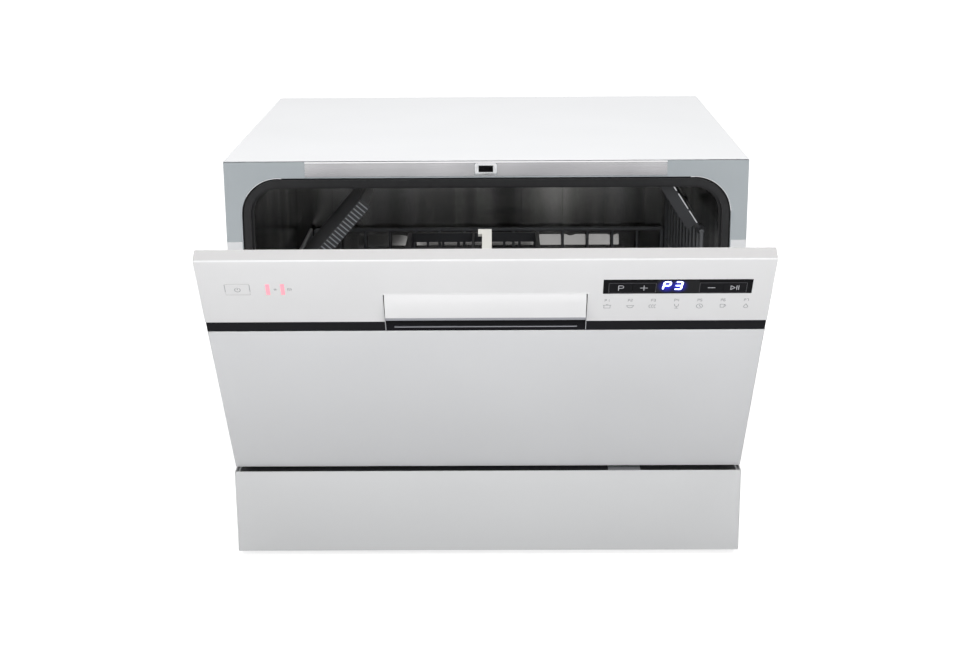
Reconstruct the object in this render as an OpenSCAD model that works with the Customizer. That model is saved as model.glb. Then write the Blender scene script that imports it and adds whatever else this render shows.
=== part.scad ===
// Countertop dishwasher with its drop-down door ajar, in millimetres.
// X runs to the right, Y to the back and Z up. The origin is the middle of the whole outline on the
// surface the machine stands on. Door pieces are drawn on the closed door and then swung to rest.

/* [Cabinet] */
// Width of the cabinet
body_w = 550; // [540:1:570]
// Depth of the cabinet with its door closed
body_d = 500; // [490:1:530]
// Height from the surface to the top panel
body_h = 438; // [436:1:460]
// Thickness of the painted steel sheets
sheet_t = 1; // [0.8:0.1:1.4]
// Height of the feet below the base
foot_h = 9; // [7:0.5:12]
// Height of the plinth's top edge
plinth_top = 102; // [98:1:104]
// Height of the grey corner legs of the front frame, down from the cabinet's top
corner_leg_h = 86.5; // [60:1:120]
// Width of the side panels' folded front edges
flange_w = 16.5; // [15.5:0.5:17]
// Width of the folded edges at the back
hem_w = 12; // [8:1:16]
// Depth of the top panel's folded edges
top_hem = 5; // [3:0.5:5]

/* [Door] */
// Thickness of the door
door_t = 26; // [25:0.5:28]
// Gap between the closed door's bottom and the plinth
door_gap = 10; // [8:0.5:12]
// Gap between the closed door's top edge and the level of the cabinet's top
door_top_gap = 0.5; // [0.3:0.1:2]
// Gap at each side of the door
door_side_gap = 1; // [0.5:0.1:2]
// How far the hinge axis lies behind the door's outer face
hinge_in = 10; // [9:0.5:11]
// How far the hinge axis lies above the door's bottom edge
hinge_up = 2; // [1.5:0.1:3]
// Angle at which the door stands ajar
door_rest_angle = 33; // [25:1:36]
// Radius of the door's outer edges
door_edge_r = 2; // [1:0.25:3]
// Depth of the console's top lip
lip_d = 15.2; // [13:0.2:17]
// Height of the white console face
console_h = 87; // [84:1:92]
// Height of the black band below the console face
band_h = 14.3; // [10:0.1:18]
// How far the black band is set back
band_set = 0.8; // [0.4:0.1:1.5]
// Wall of the console moulding
console_t = 2.5; // [2:0.1:3]
// Radius of the door hinge pins
hinge_pin_r = 4; // [3:0.25:5]

/* [Handle] */
// Distance from the cabinet's side to the pull handle
handle_side = 178; // [170:1:200]
// Distance from the door's top edge to the handle's top
handle_top = 48; // [44:1:54]
// Height of the handle's sloping shoulder
handle_shoulder_h = 8.5; // [6:0.5:12]
// How far the handle's shoulder stands out
handle_out = 4.5; // [3:0.5:6]
// Height of the handle's white face with its shoulder
handle_face_h = 27.2; // [24:0.2:30]
// How far the handle's lower lip stands out
handle_lip_out = 6; // [5:0.5:8]
// Height of the bright lip below the white face
handle_lip_h = 4.8; // [3:0.2:6]
// Wall of the handle
handle_t = 2.5; // [2:0.1:3]
// Depth of the finger scoop behind the handle
scoop_d = 14; // [11:0.5:15]

/* [Controls] */
// Distance from the cabinet's side to the display window
window_side = 20.6; // [15:0.1:26]
// Width of the display window
window_w = 141.9; // [138:0.1:146]
// Distance from the door's top edge to the window
window_top = 28.1; // [25:0.1:32]
// Height of the display window
window_h = 19.6; // [17.5:0.1:23]
// Distance from the window's left end to the first key
key_inset = 5.8; // [4:0.1:7]
// Width of a key
key_w = 22; // [20:0.1:23]
// Height of a key
key_h = 12.8; // [10:0.1:14]
// Distance from the window's top to the keys
key_top = 5.1; // [3.5:0.1:6]
// Travel of a key
key_travel = 0.6; // [0.4:0.1:1]
// Distance from the cabinet's side to the centre of the power button
power_side = 38.5; // [34:0.5:44]
// Width of the power button
power_w = 23; // [18:0.5:28]
// Height of the power button
power_h = 14.6; // [12:0.2:18]
// Travel of the power button
power_travel = 1.2; // [0.8:0.1:2]
// Distance from the cabinet's side to the centre of the first indicator lens
lens_side = 67.5; // [60:0.5:71]
// Distance between the indicator lenses
lens_pitch = 14.2; // [10:0.2:16]
// Width of an indicator lens
lens_w = 3.6; // [2.5:0.1:5]
// Distance from the door's top edge to the row of buttons and lenses
control_top = 32.4; // [30:0.2:36]

/* [Opening] */
// Width of the frame beside the opening
frame_side = 17.5; // [17:0.5:22]
// Height of the frame above the opening
frame_over = 18.5; // [18:0.5:23]
// Height of the sill and the wheel rails above the surface
rail_z = 130; // [128:0.5:134]
// Radius of the opening's upper corners
opening_r = 39; // [34:0.5:44]
// Width of the channel that holds the seal
seal_w = 10.5; // [9:0.5:12]
// Depth of that channel
seal_d = 10; // [9:0.5:12]
// Distance from the cabinet's side to the bright band over the opening
trim_side = 85.2; // [70:0.1:105]
// Thickness of the bright band
trim_t = 0.6; // [0.4:0.1:0.7]

/* [Tub] */
// Thickness of the tub's steel
tub_t = 1; // [0.8:0.1:1.2]
// Space between the tub's back wall and the cabinet's back panel
back_space = 49; // [40:1:60]
// Depth of the tub's sunk floor below the rails
floor_sink = 6; // [4:0.5:8]
// Width of the wheel rails
rail_w = 34; // [30:1:38]
// Number of pressed ribs in the back wall
rib_count = 9; // [5:2:9]
// Width of a pressed rib
rib_w = 22; // [16:1:26]
// Depth of a pressed rib
rib_d = 4; // [2:0.5:6]
// Height of the ribs' lower ends
rib_bottom = 262; // [240:1:290]

/* [Water system] */
// Reach of the spray arm from its middle
arm_reach = 185; // [165:1:190]
// Radius of the spray arm's pivot
arm_pivot_r = 12; // [9:0.5:14]
// Distance from the spray arm to the filter
filter_x = 95; // [90:1:100]
// Distance of the filter in front of the spray arm
filter_front = 35; // [25:1:45]
// Radius of the filter cup
filter_r = 36.5; // [30:0.5:40]
// Radius of the pump motor
pump_r = 34; // [28:1:38]
// Length of the pump motor
pump_l = 96; // [80:1:110]
// Radius of the inlet valve's thread
inlet_r = 13.2; // [12:0.1:14]
// Radius of the drain spigot
drain_r = 10; // [8:0.5:12]
// How far the inlet and drain stand out behind the cabinet
rear_reach = 14; // [12:0.5:18]

/* [Rack] */
// Space at each side of the rack
rack_gap = 11; // [9:0.5:14]
// Depth of the rack
rack_d = 388; // [370:1:396]
// Height of the rack's floor above the rails
rack_floor_up = 31; // [30:0.5:36]
// Height of the rack's walls above its floor
rack_wall_h = 112; // [100:1:118]
// Radius of the thin wires
wire_r = 1.5; // [1.25:0.05:1.75]
// Radius of the frame wires
rim_r = 2.5; // [2.2:0.1:3]
// Wires across half of the floor's width
floor_wires = 11; // [10:1:12]
// Radius of a wheel
wheel_r = 14; // [12:0.5:15]
// Width of a wheel
wheel_w = 12; // [9:0.5:13]
// Length of the plate tines
tine_h = 60; // [50:1:70]
// Distance from the tub's roof to the pivot of the right cup shelf
glass_down = 59; // [54:1:70]
// Width of the cutlery basket
basket_w = 155; // [140:1:158]
// Depth of the cutlery basket
basket_d = 80; // [60:1:84]
// Height of the cutlery basket
basket_h = 138; // [120:1:142]
// Reach of the left cup shelf from its pivot
shelf_reach = 150; // [130:1:154]
// Angle at which the left cup shelf leans
shelf_angle = 49; // [44:1:52]
// Reach of the right cup shelf from its pivot
glass_reach = 66; // [55:1:68]
// Angle at which the right cup shelf leans
glass_angle = 57; // [50:1:60]
// Length of the cup shelves
shelf_l = 210; // [180:1:220]

/* [Hidden] */
$fn = 48;
clear = 0.3; // gap between faces that pass each other
run = 0.05; // radial clearance of a pivot
bond = 0.02; // gap between welded or seated pieces of one body

// Door and hinge
door_w = body_w - 2 * door_side_gap;
door_z = plinth_top + door_gap;
plinth_t = 1.2;
door_h = body_h - door_top_gap - door_z;
hinge_z = door_z + hinge_up;
frame_gap = 1; // between the closed door and the front frame
door_reach = -hinge_in + (hinge_in - door_edge_r) * cos(door_rest_angle)
  + (door_h - hinge_up - door_edge_r) * sin(door_rest_angle) + door_edge_r;
overall_d = door_reach + body_d + rear_reach;
front_y = -overall_d / 2 + door_reach;
back_y = front_y + body_d;
hinge_y = front_y + hinge_in;
frame_y = front_y + door_t + frame_gap;
console_z = door_h - console_h; // lower edge of the white console face
band_z = console_z - band_h; // lower edge of the black band

// Opening, seal and tub
half_w = body_w / 2;
open_half = half_w - frame_side;
opening_top = body_h - frame_over;
trim_half = half_w - trim_side;
tub_half = open_half - seal_w;
tub_r = opening_r - seal_w;
tub_top = opening_top - seal_w;
tub_front = frame_y + seal_d;
tub_back_y = back_y - back_space;
tub_d = tub_back_y - tub_front;
tub_mid = (frame_y + tub_back_y) / 2 - 1;
floor_z = rail_z - floor_sink;
frame_half = open_half + tub_t; // front frame below its grey corners
strip_half = half_w - 6; // dark strip in the plinth's top
leg_z = body_h - corner_leg_h;

// Latch
latch_z = (opening_top + body_h - sheet_t) / 2 + 0.6;
latch_hole_w = 17;
latch_hole_h = 7;
bezel_w = 23.4;
bezel_h = 13.4;
tongue_w = 13;
tongue_t = 3.6;
tongue_z = latch_z - door_z - tongue_t / 2 - 1.1; // underside of the tongue on the door
tongue_reach = 50.8;
latch_pivot_y = 10;
latch_pivot_z = tongue_z - 9;
liner_top = tongue_z - 2;

// Hinge
bracket_x = half_w - flange_w + 3.5;
bracket_t = 2;
bracket_r = hinge_pin_r + 4;
arm_t = 2.7;
arm_l = 148; // from the pin to the upper end of a hinge arm

// Handle
handle_w = body_w - 2 * handle_side;
pocket_gap = 1.2;
handle_z = door_h - handle_top;
lip_z = handle_z - handle_face_h;
handle_pivot_y = 6;
handle_pivot_z = handle_z - 3;
handle_pivot_r = 2.5;
handle_stub_r = 1.6;
scoop_z = handle_z + pocket_gap + 2.5; // top of the scoop moulding

// Controls
window_x = half_w - window_side - window_w;
power_x = half_w - power_side;
lens_x = half_w - lens_side;
window_z = door_h - window_top - window_h;
key_z = door_h - window_top - key_top - key_h;
key_xs = [window_x + key_inset, window_x + key_inset + key_w,
  window_x + window_w - key_inset - 2 * key_w, window_x + window_w - key_inset - key_w];
button_z = door_h - control_top - power_h;

// Dispenser on the door's inner face
disp_x = -12;
disp_w = 150;
disp_z = 92;
disp_h = 92;
disp_out = 3;
cup_x = disp_x + 12;
cup_w = 76;
cup_z = disp_z + 14;
cup_h = 62;
rinse_x = disp_x + disp_w - 26;
rinse_r = 15;
lid_t = 2.2;
disp_face = door_t + disp_out - 5;
lid_pin_r = 1.1;
lid_barrel_r = 1.6;
lid_axis_y = disp_face + clear + lid_barrel_r;
lid_axis_z = cup_z + cup_h + 3.8;
ear_x = [cup_x - 1, cup_x + cup_w - 3.5];
ear_w = 4.5;

// Water system
filter_y = tub_mid - filter_front;
well_r = filter_r + 23;
arm_z = floor_z + 13;
arm_t2 = 10;
soft_x = -165;
soft_y = tub_mid + 60;
soft_r = 22;
inlet_x = -190;
inlet_z = 62;
drain_x = -120;
drain_z = 70;
gland_x = 200;
gland_z = 60;
foot_x = half_w - 42;
foot_y = front_y + 75;
rear_foot_y = back_y - 55;
foot_r = 16;
stem_r = 5;
tray_t = 2.5;
drain_pump_r = 22;
drain_pump_l = 34;
drain_pump_z = 48;
drain_pipe_z = 84;
sump_bottom = 66;
pipe_bottom = 70;
tank_w = 88;
tank_d = 115;
air_break_d = 180;
air_break_h = 200;

// Rack
rack_y = tub_back_y - 12 - rack_d;
rack_back = rack_y + rack_d;
rack_half = tub_half - rack_gap;
rack_z = rail_z + rack_floor_up;
wire_lap = 0.4;
long_z = rack_z + wire_r;
rack_top = rack_z + rack_wall_h;
foot_set = 22; // the rack's floor starts this far behind its front rim
wheel_x = rack_half - 6 - wheel_w;
wheel_z = rail_z + clear + wheel_r;
axle_r = 3;
wheel_ys = [rack_y + foot_set + 34, rack_back - 60];
tine_pitch = (rack_half - rim_r) / (floor_wires + 0.5);
tine_x = 4 * tine_pitch; // first of the folding tines, over a floor wire
fold_end = tine_x + 7 * tine_pitch; // last of the folding tines
tine_y = tub_mid + 78;
fold_y = tub_mid - 32;
fold_z = long_z + wire_r + 3.4;
basket_x = tine_x - basket_w - 21.2;
basket_y = tub_mid - 32;
basket_z = long_z + wire_r + clear;
basket_t = 2.4;
glass_z = tub_top - glass_down;
pivot_half = rack_half - rim_r;
shelf_y = rack_y + 26;
shelf_t = 3;
barrel_r = rim_r + 2.5;
wall_pitch = 32;

// ---- Shared shapes

// A box from its two corners
module box(lo, hi) {
  translate(lo) cube(hi - lo);
}

// A flat shape in X and Z, made solid from y0 to y1
module slab_y(y0, y1) {
  translate([0, y1, 0]) rotate([90, 0, 0]) linear_extrude(y1 - y0) children();
}

// A flat shape in Y and Z, made solid from x0 to x1
module slab_x(x0, x1) {
  translate([x0, 0, 0]) rotate([90, 0, 90]) linear_extrude(x1 - x0) children();
}

// A rectangle from its two corners
module rect(lo, hi) {
  translate(lo) square(hi - lo);
}

// A rectangle with four round corners
module round_rect(lo, hi, r) {
  rect([lo[0] + r, lo[1]], [hi[0] - r, hi[1]]);
  rect([lo[0], lo[1] + r], [hi[0], hi[1] - r]);
  for (x = [lo[0] + r, hi[0] - r])
    for (y = [lo[1] + r, hi[1] - r]) translate([x, y]) circle(r);
}

// A rectangle with round upper corners
module arch(half, z0, z1, r) {
  rect([-half, z0], [half, z1 - r]);
  rect([-half + r, z0], [half - r, z1]);
  for (s = [-1, 1]) translate([s * (half - r), z1 - r]) circle(r);
}

// A rectangle in plan with round front corners
module front_rounded(half, y0, y1, r) {
  rect([-half + r, y0], [half - r, y1]);
  rect([-half, y0 + r], [half, y1]);
  for (s = [-1, 1]) translate([s * (half - r), y0 + r]) circle(r);
}

// An upright cylinder, and cylinders along X and Y
module post(x, y, z0, z1, r) {
  translate([x, y, z0]) cylinder(h = z1 - z0, r = r);
}

module rod_x(x0, x1, y, z, r) {
  translate([x0, y, z]) rotate([0, 90, 0]) cylinder(h = x1 - x0, r = r);
}

module rod_y(y0, y1, x, z, r) {
  translate([x, y0, z]) rotate([-90, 0, 0]) cylinder(h = y1 - y0, r = r);
}

// Children and their mirror image across the middle
module both_sides() {
  children();
  mirror([1, 0, 0]) children();
}

// Door space: X across, Y inward from the closed door's outer face and Z up from its bottom edge
module on_door() {
  translate([0, hinge_y, hinge_z]) rotate([door_rest_angle, 0, 0])
    translate([0, -hinge_in, -hinge_up]) children();
}

// ---- Cabinet

module top_panel() {
  color("white") {
    box([-half_w, frame_y, body_h - sheet_t], [half_w, back_y, body_h]);
    both_sides()
      box([half_w - 2 * sheet_t, tub_front + 5, body_h - top_hem],
        [half_w - sheet_t, back_y - 2 * hem_w, body_h - sheet_t / 2]);
  }
}

// Side sheet with folded edges and a slot for the hinge bracket
module side_panel() {
  difference() {
    union() {
      box([half_w - sheet_t, frame_y + sheet_t, foot_h], [half_w, back_y, body_h - sheet_t]);
      box([frame_half, frame_y, plinth_top], [half_w, frame_y + sheet_t, leg_z]);
      box([half_w - hem_w, back_y - 2 * sheet_t, foot_h],
        [half_w - sheet_t / 2, back_y - sheet_t, body_h - hem_w - sheet_t]);
    }
    box([bracket_x - clear, frame_y - 1, hinge_z - bracket_r - clear],
      [bracket_x + bracket_t + clear, frame_y + sheet_t + 1, hinge_z + bracket_r + clear]);
  }
}

module left_side_panel() {
  color("white") mirror([1, 0, 0]) side_panel();
}

module right_side_panel() {
  color("white") side_panel();
}

// Back sheet with round holes for the water fittings and the cord, and a field of air slots
module back_panel() {
  color("gainsboro") difference() {
    box([-half_w + sheet_t, back_y - sheet_t, foot_h], [half_w - sheet_t, back_y, body_h - sheet_t]);
    rod_y(back_y - 5, back_y + 5, inlet_x, inlet_z, inlet_r + 1);
    rod_y(back_y - 5, back_y + 5, drain_x, drain_z, drain_r + 1);
    rod_y(back_y - 5, back_y + 5, gland_x, gland_z, 9);
    for (i = [0 : 7])
      box([60 + 14 * i, back_y - 5, foot_h + 22], [66 + 14 * i, back_y + 5, foot_h + 70]);
  }
}

// Base moulding: a tray with low walls, stiffening ribs and sockets for the feet
module base_tray() {
  tray_half = half_w - sheet_t;
  tray_front = frame_y + sheet_t;
  tray_back = back_y - 2 * sheet_t;
  color("dimgray") difference() {
    union() {
      difference() {
        box([-tray_half, tray_front, foot_h], [tray_half, tray_back, foot_h + 18]);
        box([-tray_half + hem_w, tray_front + tray_t, foot_h + tray_t],
          [tray_half - hem_w, tray_back - hem_w, foot_h + 19]);
      }
      for (x = [-60, 60])
        box([x - 1, tray_front + 1, foot_h + 1], [x + 1, tray_back - 1, foot_h + 9]);
      both_sides() {
        post(foot_x, foot_y, foot_h, foot_h + 22, 12);
        post(foot_x, rear_foot_y, foot_h, foot_h + 10, 12);
      }
    }
    both_sides() post(foot_x, foot_y, foot_h - 1, foot_h + 19, stem_r + run);
  }
}

// Painted plinth: a shallow pan, open at the top and back, that closes the front below the door
module plinth() {
  color("white") translate([0, 0, foot_h]) {
    difference() {
      linear_extrude(plinth_top - foot_h) front_rounded(half_w, front_y, frame_y, door_edge_r);
      box([-half_w + plinth_t, front_y + plinth_t, plinth_t],
        [half_w - plinth_t, frame_y + 1, plinth_top - foot_h + 1]);
    }
    both_sides()
      box([strip_half + 1, front_y + plinth_t / 2, plinth_top - foot_h - 14],
        [strip_half + 2, frame_y - 6, plinth_top - foot_h - 0.3]);
  }
}

// Roof and side walls of the tub, bent from one sheet
module tub_wrapper() {
  color("slategray") slab_y(tub_front, tub_back_y) difference() {
    arch(tub_half + tub_t, rail_z, tub_top + tub_t, tub_r + tub_t);
    arch(tub_half, rail_z - 1, tub_top, tub_r);
  }
}

// Back wall of the tub with upright pressed ribs
module tub_back() {
  rib_pitch = 2 * (tub_half - 30) / (rib_count - 1);
  rib_r = rib_w / 2;
  color("slategray") {
    slab_y(tub_back_y, tub_back_y + tub_t) arch(tub_half + tub_t, rail_z - tub_t,
      tub_top + tub_t, tub_r + tub_t);
    slab_y(tub_back_y - rib_d, tub_back_y + tub_t / 2)
      for (i = [0 : rib_count - 1]) translate([(i - (rib_count - 1) / 2) * rib_pitch, 0]) {
        rect([-rib_r, rib_bottom + rib_r], [rib_r, tub_top - 26]);
        translate([0, rib_bottom + rib_r]) circle(rib_r);
        translate([0, tub_top - 26]) circle(rib_r);
      }
  }
}

// Sunk floor between the two wheel rails, with holes for the spray pipe, filter and salt cap
module tub_floor() {
  in_half = tub_half - rail_w;
  slope = floor_sink * 1.5;
  outline = [[-tub_half - tub_t, rail_z], [-in_half, rail_z], [-in_half + slope, floor_z],
    [in_half - slope, floor_z], [in_half, rail_z], [tub_half + tub_t, rail_z],
    [tub_half + tub_t, rail_z - tub_t], [in_half - tub_t / 2, rail_z - tub_t],
    [in_half - slope - tub_t / 2, floor_z - tub_t], [-in_half + slope + tub_t / 2, floor_z - tub_t],
    [-in_half + tub_t / 2, rail_z - tub_t], [-tub_half - tub_t, rail_z - tub_t]];
  color("slategray") difference() {
    union() {
      slab_y(tub_front, tub_back_y) polygon(outline);
      for (y = [tub_front, tub_back_y - tub_t])
        box([-in_half, y, floor_z - tub_t], [in_half, y + tub_t, rail_z - tub_t / 2]);
    }
    post(0, tub_mid, floor_z - 5, floor_z + 5, arm_pivot_r + 9);
    post(filter_x, filter_y, floor_z - 5, floor_z + 5, well_r - 4);
    post(soft_x, soft_y, floor_z - 5, floor_z + 5, soft_r);
  }
}

// Steel front frame: grey corners, the channel that holds the seal, and the sill
module front_frame() {
  color("lightsteelblue") difference() {
    union() {
      slab_y(frame_y, frame_y + sheet_t) {
        rect([-half_w, leg_z], [half_w, body_h - sheet_t]);
        rect([-frame_half, plinth_top], [frame_half, body_h - sheet_t]);
      }
      slab_y(frame_y, tub_front)
        arch(open_half + tub_t, rail_z - tub_t, opening_top + tub_t, opening_r + tub_t);
    }
    slab_y(frame_y - 1, tub_front - tub_t) arch(open_half, rail_z, opening_top, opening_r);
    slab_y(frame_y - 1, tub_front + 1) arch(tub_half, rail_z, tub_top, tub_r);
    box([-open_half - 2, frame_y + sheet_t, rail_z - 20], [open_half + 2, tub_front + 1, rail_z - tub_t]);
    box([-latch_hole_w / 2, frame_y - 1, latch_z - latch_hole_h / 2],
      [latch_hole_w / 2, frame_y + 5, latch_z + latch_hole_h / 2]);
    box([-tub_half + 4, frame_y - 1, rail_z - 12], [tub_half - 4, frame_y + 5, rail_z - 3]);
  }
}

// Bright band over the opening
module frame_trim() {
  color("silver") slab_y(frame_y - trim_t, frame_y) difference() {
    rect([-trim_half, opening_top + 1.7], [trim_half, body_h - sheet_t]);
    rect([-bezel_w / 2 - clear / 2, latch_z - bezel_h / 2 - clear / 2],
      [bezel_w / 2 + clear / 2, latch_z + bezel_h / 2 + clear / 2]);
  }
}

// Catch box behind the frame with its bright bezel
module latch_strike() {
  color("silver") difference() {
    union() {
      slab_y(frame_y - 0.5, frame_y)
        round_rect([-bezel_w / 2, latch_z - bezel_h / 2], [bezel_w / 2, latch_z + bezel_h / 2], 3);
      box([-10.5, frame_y + sheet_t, latch_z - latch_hole_h / 2 - 1.5],
        [10.5, frame_y + 34, latch_z + latch_hole_h / 2 + 1.5]);
      box([-latch_hole_w / 2, frame_y - 0.2, latch_z - latch_hole_h / 2],
        [latch_hole_w / 2, frame_y + 2, latch_z + latch_hole_h / 2]);
    }
    box([-latch_hole_w / 2 + 1, frame_y - 1, latch_z - latch_hole_h / 2 + 0.2],
      [latch_hole_w / 2 - 1, frame_y + 31, latch_z + latch_hole_h / 2 - 0.2]);
  }
}

// Rubber seal in the frame's channel, with a foot and a raised lip
module tub_gasket() {
  foot_half = open_half - 0.2;
  color("black") {
    slab_y(frame_y + 4, tub_front - tub_t) difference() {
      arch(foot_half, rail_z + bond, opening_top - 0.2, opening_r - 0.2);
      arch(tub_half - 1, rail_z - 1, tub_top - 1, tub_r - 1);
    }
    slab_y(frame_y - 0.6, frame_y + 4.5) difference() {
      arch(open_half - 2, rail_z + bond, opening_top - 2, opening_r - 2);
      arch(tub_half + 1.5, rail_z - 1, tub_top + 1.5, tub_r + 1.5);
    }
  }
}

// Rubber strips: one in the sill below the opening, one that covers the plinth's open top
module sill_seal() {
  color("black") {
    box([-strip_half, front_y + plinth_t + bond, plinth_top - 2],
      [strip_half, frame_y - bond, plinth_top - 0.5]);
    box([-tub_half + 4, frame_y, rail_z - 12], [tub_half - 4, frame_y + 4, rail_z - 3]);
    rod_x(-tub_half + 4, tub_half - 4, frame_y + 1.2, rail_z - 7.5, 1.8);
  }
}

// ---- Water system

// Sump moulding: the filter well, the spray arm's pivot pipe and the flange under the floor
module sump() {
  color("lightgray") difference() {
    union() {
      post(filter_x, filter_y, floor_z - tub_t - 4, floor_z - tub_t, well_r + 4);
      post(filter_x, filter_y, sump_bottom, floor_z - 2, well_r - 6);
      post(0, tub_mid, floor_z - tub_t - 4, floor_z - tub_t, arm_pivot_r + 20);
      post(0, tub_mid, pipe_bottom, floor_z + 9, arm_pivot_r + 8);
      post(0, tub_mid, floor_z + 5, arm_z + arm_t2 + 2, arm_pivot_r);
      translate([0, tub_mid, floor_z - tub_t - 4]) rotate([0, 0, -atan(filter_front / filter_x)])
        translate([0, -30, 0]) cube([filter_x, 60, 3]);
    }
    post(filter_x, filter_y, sump_bottom + 3, floor_z, well_r - 9);
    post(0, tub_mid, pipe_bottom - 10, arm_z + arm_t2 - 4, arm_pivot_r - 4);
  }
}

// Perforated steel plate round the filter cup
module filter_plate() {
  ring_rs = [filter_r + 7, filter_r + 12, filter_r + 17];
  color("silver") difference() {
    post(filter_x, filter_y, floor_z, floor_z + 1, well_r + 1);
    post(filter_x, filter_y, floor_z - 1, floor_z + 2, filter_r + 1);
    for (ring = ring_rs)
      for (i = [0 : 15]) rotate_about([filter_x, filter_y], i * 22.5 + ring)
        translate([ring, 0, floor_z - 1]) cylinder(h = 3, r = 1.4, $fn = 16);
  }
}

// Children turned about an upright line
module rotate_about(at, angle) {
  translate([at[0], at[1], 0]) rotate([0, 0, angle]) children();
}

// Pump motor with its end caps, volute and the pipe to the spray arm
module circulation_pump() {
  pump_x = pump_r + 18;
  pump_z = foot_h + tray_t + pump_r + 9;
  pump_y = tub_mid + pump_r + 20;
  color("dimgray") {
    rod_x(pump_x, pump_x + pump_l, pump_y, pump_z, pump_r);
    rod_x(pump_x + pump_l - 1, pump_x + pump_l + 8, pump_y, pump_z, pump_r - 10);
    rod_x(pump_x - 22, pump_x + 1, pump_y, pump_z, pump_r + 3);
    for (i = [0 : 5])
      rod_x(pump_x + 10 + i * 14, pump_x + 14 + i * 14, pump_y, pump_z, pump_r + 1.5);
    rod_x(-8, pump_x - 20, pump_y, pump_z, 14);
    rod_y(tub_mid, pump_y + 14, 0, pump_z, 12);
    post(0, tub_mid, pump_z, pipe_bottom - bond, 12);
    box([pump_x + 20, pump_y - 12, foot_h + tray_t], [pump_x + 34, pump_y + 12, pump_z]);
  }
}

// Small pump that empties the sump, with its inlet pipe and motor stack
module drain_pump() {
  pump_y = filter_y;
  pump_x = filter_x - well_r + 6 - drain_pump_l - 28;
  pipe_x = pump_x + drain_pump_l + 4;
  color("gray") {
    rod_x(pump_x, pump_x + drain_pump_l, pump_y, drain_pump_z, drain_pump_r);
    rod_x(pump_x + drain_pump_l - 4, pump_x + drain_pump_l + 16, pump_y, drain_pump_z, 15);
    box([pump_x - 24, pump_y - 17, foot_h + tray_t], [pump_x + 1, pump_y + 17, drain_pump_z + 18]);
    post(pipe_x, pump_y, drain_pump_z - 8, drain_pipe_z, 9);
    rod_x(pipe_x, filter_x - well_r + 6, pump_y, drain_pipe_z, 9);
  }
}

// Water valve on the back panel with its threaded inlet
module inlet_valve() {
  color("whitesmoke") {
    rod_y(back_y - 14, back_y + rear_reach, inlet_x, inlet_z, inlet_r);
    rod_y(back_y - sheet_t - 4, back_y - sheet_t, inlet_x, inlet_z, inlet_r + 7);
    box([inlet_x - 15, back_y - 46, inlet_z - 13], [inlet_x + 15, back_y - 12, inlet_z + 13]);
    post(inlet_x, back_y - 32, inlet_z + 12, inlet_z + 42, 11);
  }
}

// Ribbed drain spigot on the back panel
module drain_outlet() {
  color("gray") {
    rod_y(back_y - 26, back_y + rear_reach, drain_x, drain_z, drain_r);
    rod_y(back_y - sheet_t - 4, back_y - sheet_t, drain_x, drain_z, drain_r + 6);
  }
}

// Flat water chamber between the tub and the left side panel
module air_break() {
  in_x = tub_half + tub_t + 3;
  color("whitesmoke") mirror([1, 0, 0]) {
    slab_x(in_x, half_w - sheet_t - 1)
      round_rect([tub_mid - air_break_d / 3, rail_z + 40],
        [tub_mid + air_break_d * 2 / 3, rail_z + 40 + air_break_h], 16);
    post((in_x + half_w) / 2, tub_mid + 20, foot_h + 18, rail_z + 45, 8);
  }
}

// Salt tank under the floor
module softener_tank() {
  color("whitesmoke") difference() {
    union() {
      box([soft_x - tank_w / 2, soft_y - tank_d / 2 - 2.5, foot_h + 14],
        [soft_x + tank_w / 2, soft_y + tank_d / 2 - 2.5, floor_z - 24]);
      post(soft_x, soft_y, floor_z - 26, floor_z - tub_t, soft_r + 4);
    }
    post(soft_x, soft_y, floor_z - 22, floor_z, soft_r);
  }
}

// Hinge plates behind the frame, with noses that carry the door's pins
module hinge_brackets() {
  nose_half = bracket_r;
  color("silver") both_sides() {
    slab_x(bracket_x, bracket_x + bracket_t) {
      translate([hinge_y, hinge_z]) circle(nose_half);
      rect([hinge_y, hinge_z - nose_half], [frame_y + 26, hinge_z + nose_half]);
    }
    box([frame_half + 1, frame_y + sheet_t, plinth_top + 2],
      [half_w - sheet_t - 0.5, frame_y + sheet_t + 2, hinge_z + 46]);
    rod_x(bracket_x, bracket_x + bracket_t + 1 + arm_t + 1, hinge_y, hinge_z, hinge_pin_r);
  }
}

// Gland for the mains lead
module cable_gland() {
  color("black") difference() {
    union() {
      rod_y(back_y - 12, back_y + 7, gland_x, gland_z, 8.8);
      rod_y(back_y, back_y + 4, gland_x, gland_z, 12);
    }
    rod_y(back_y - 13, back_y + 8, gland_x, gland_z, 4);
  }
}

// Screws along the edges of the back panel
module panel_screws() {
  color("silver") for (x = [-half_w + 8, -90, 90, half_w - 8])
    for (z = [foot_h + 9, body_h - 7]) {
      rod_y(back_y, back_y + 1.8, x, z, 3.6);
    }
}

// Rubber foot with a stepped pad
module foot(y, stem) {
  color("dimgray") {
    post(foot_x, y, 0, foot_h - 2.5, foot_r);
    post(foot_x, y, foot_h - 3, foot_h - (stem ? clear : 0), foot_r - 4);
    if (stem) post(foot_x, y, foot_h - 1, foot_h + 18, stem_r);
  }
}

module rear_feet() {
  both_sides() foot(rear_foot_y, false);
}

module front_foot_left() {
  mirror([1, 0, 0]) foot(foot_y, true);
}

module front_foot_right() {
  foot(foot_y, true);
}

// One blade of the spray arm, seen from above, with its jets
module arm_blade() {
  tip_r = 11;
  root = 24;
  linear_extrude(arm_t2) {
    polygon([[0, -root], [arm_reach * 0.45, -root + 3], [arm_reach - tip_r, -tip_r],
      [arm_reach - tip_r, tip_r], [arm_reach * 0.45, root - 6], [0, root]]);
    translate([arm_reach - tip_r, 0]) circle(tip_r);
  }
  for (i = [0 : 4])
    translate([42 + i * 30, i % 2 == 0 ? 6 : -6, arm_t2 - 1]) cylinder(h = 2.6, r1 = 5, r2 = 3);
}

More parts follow.
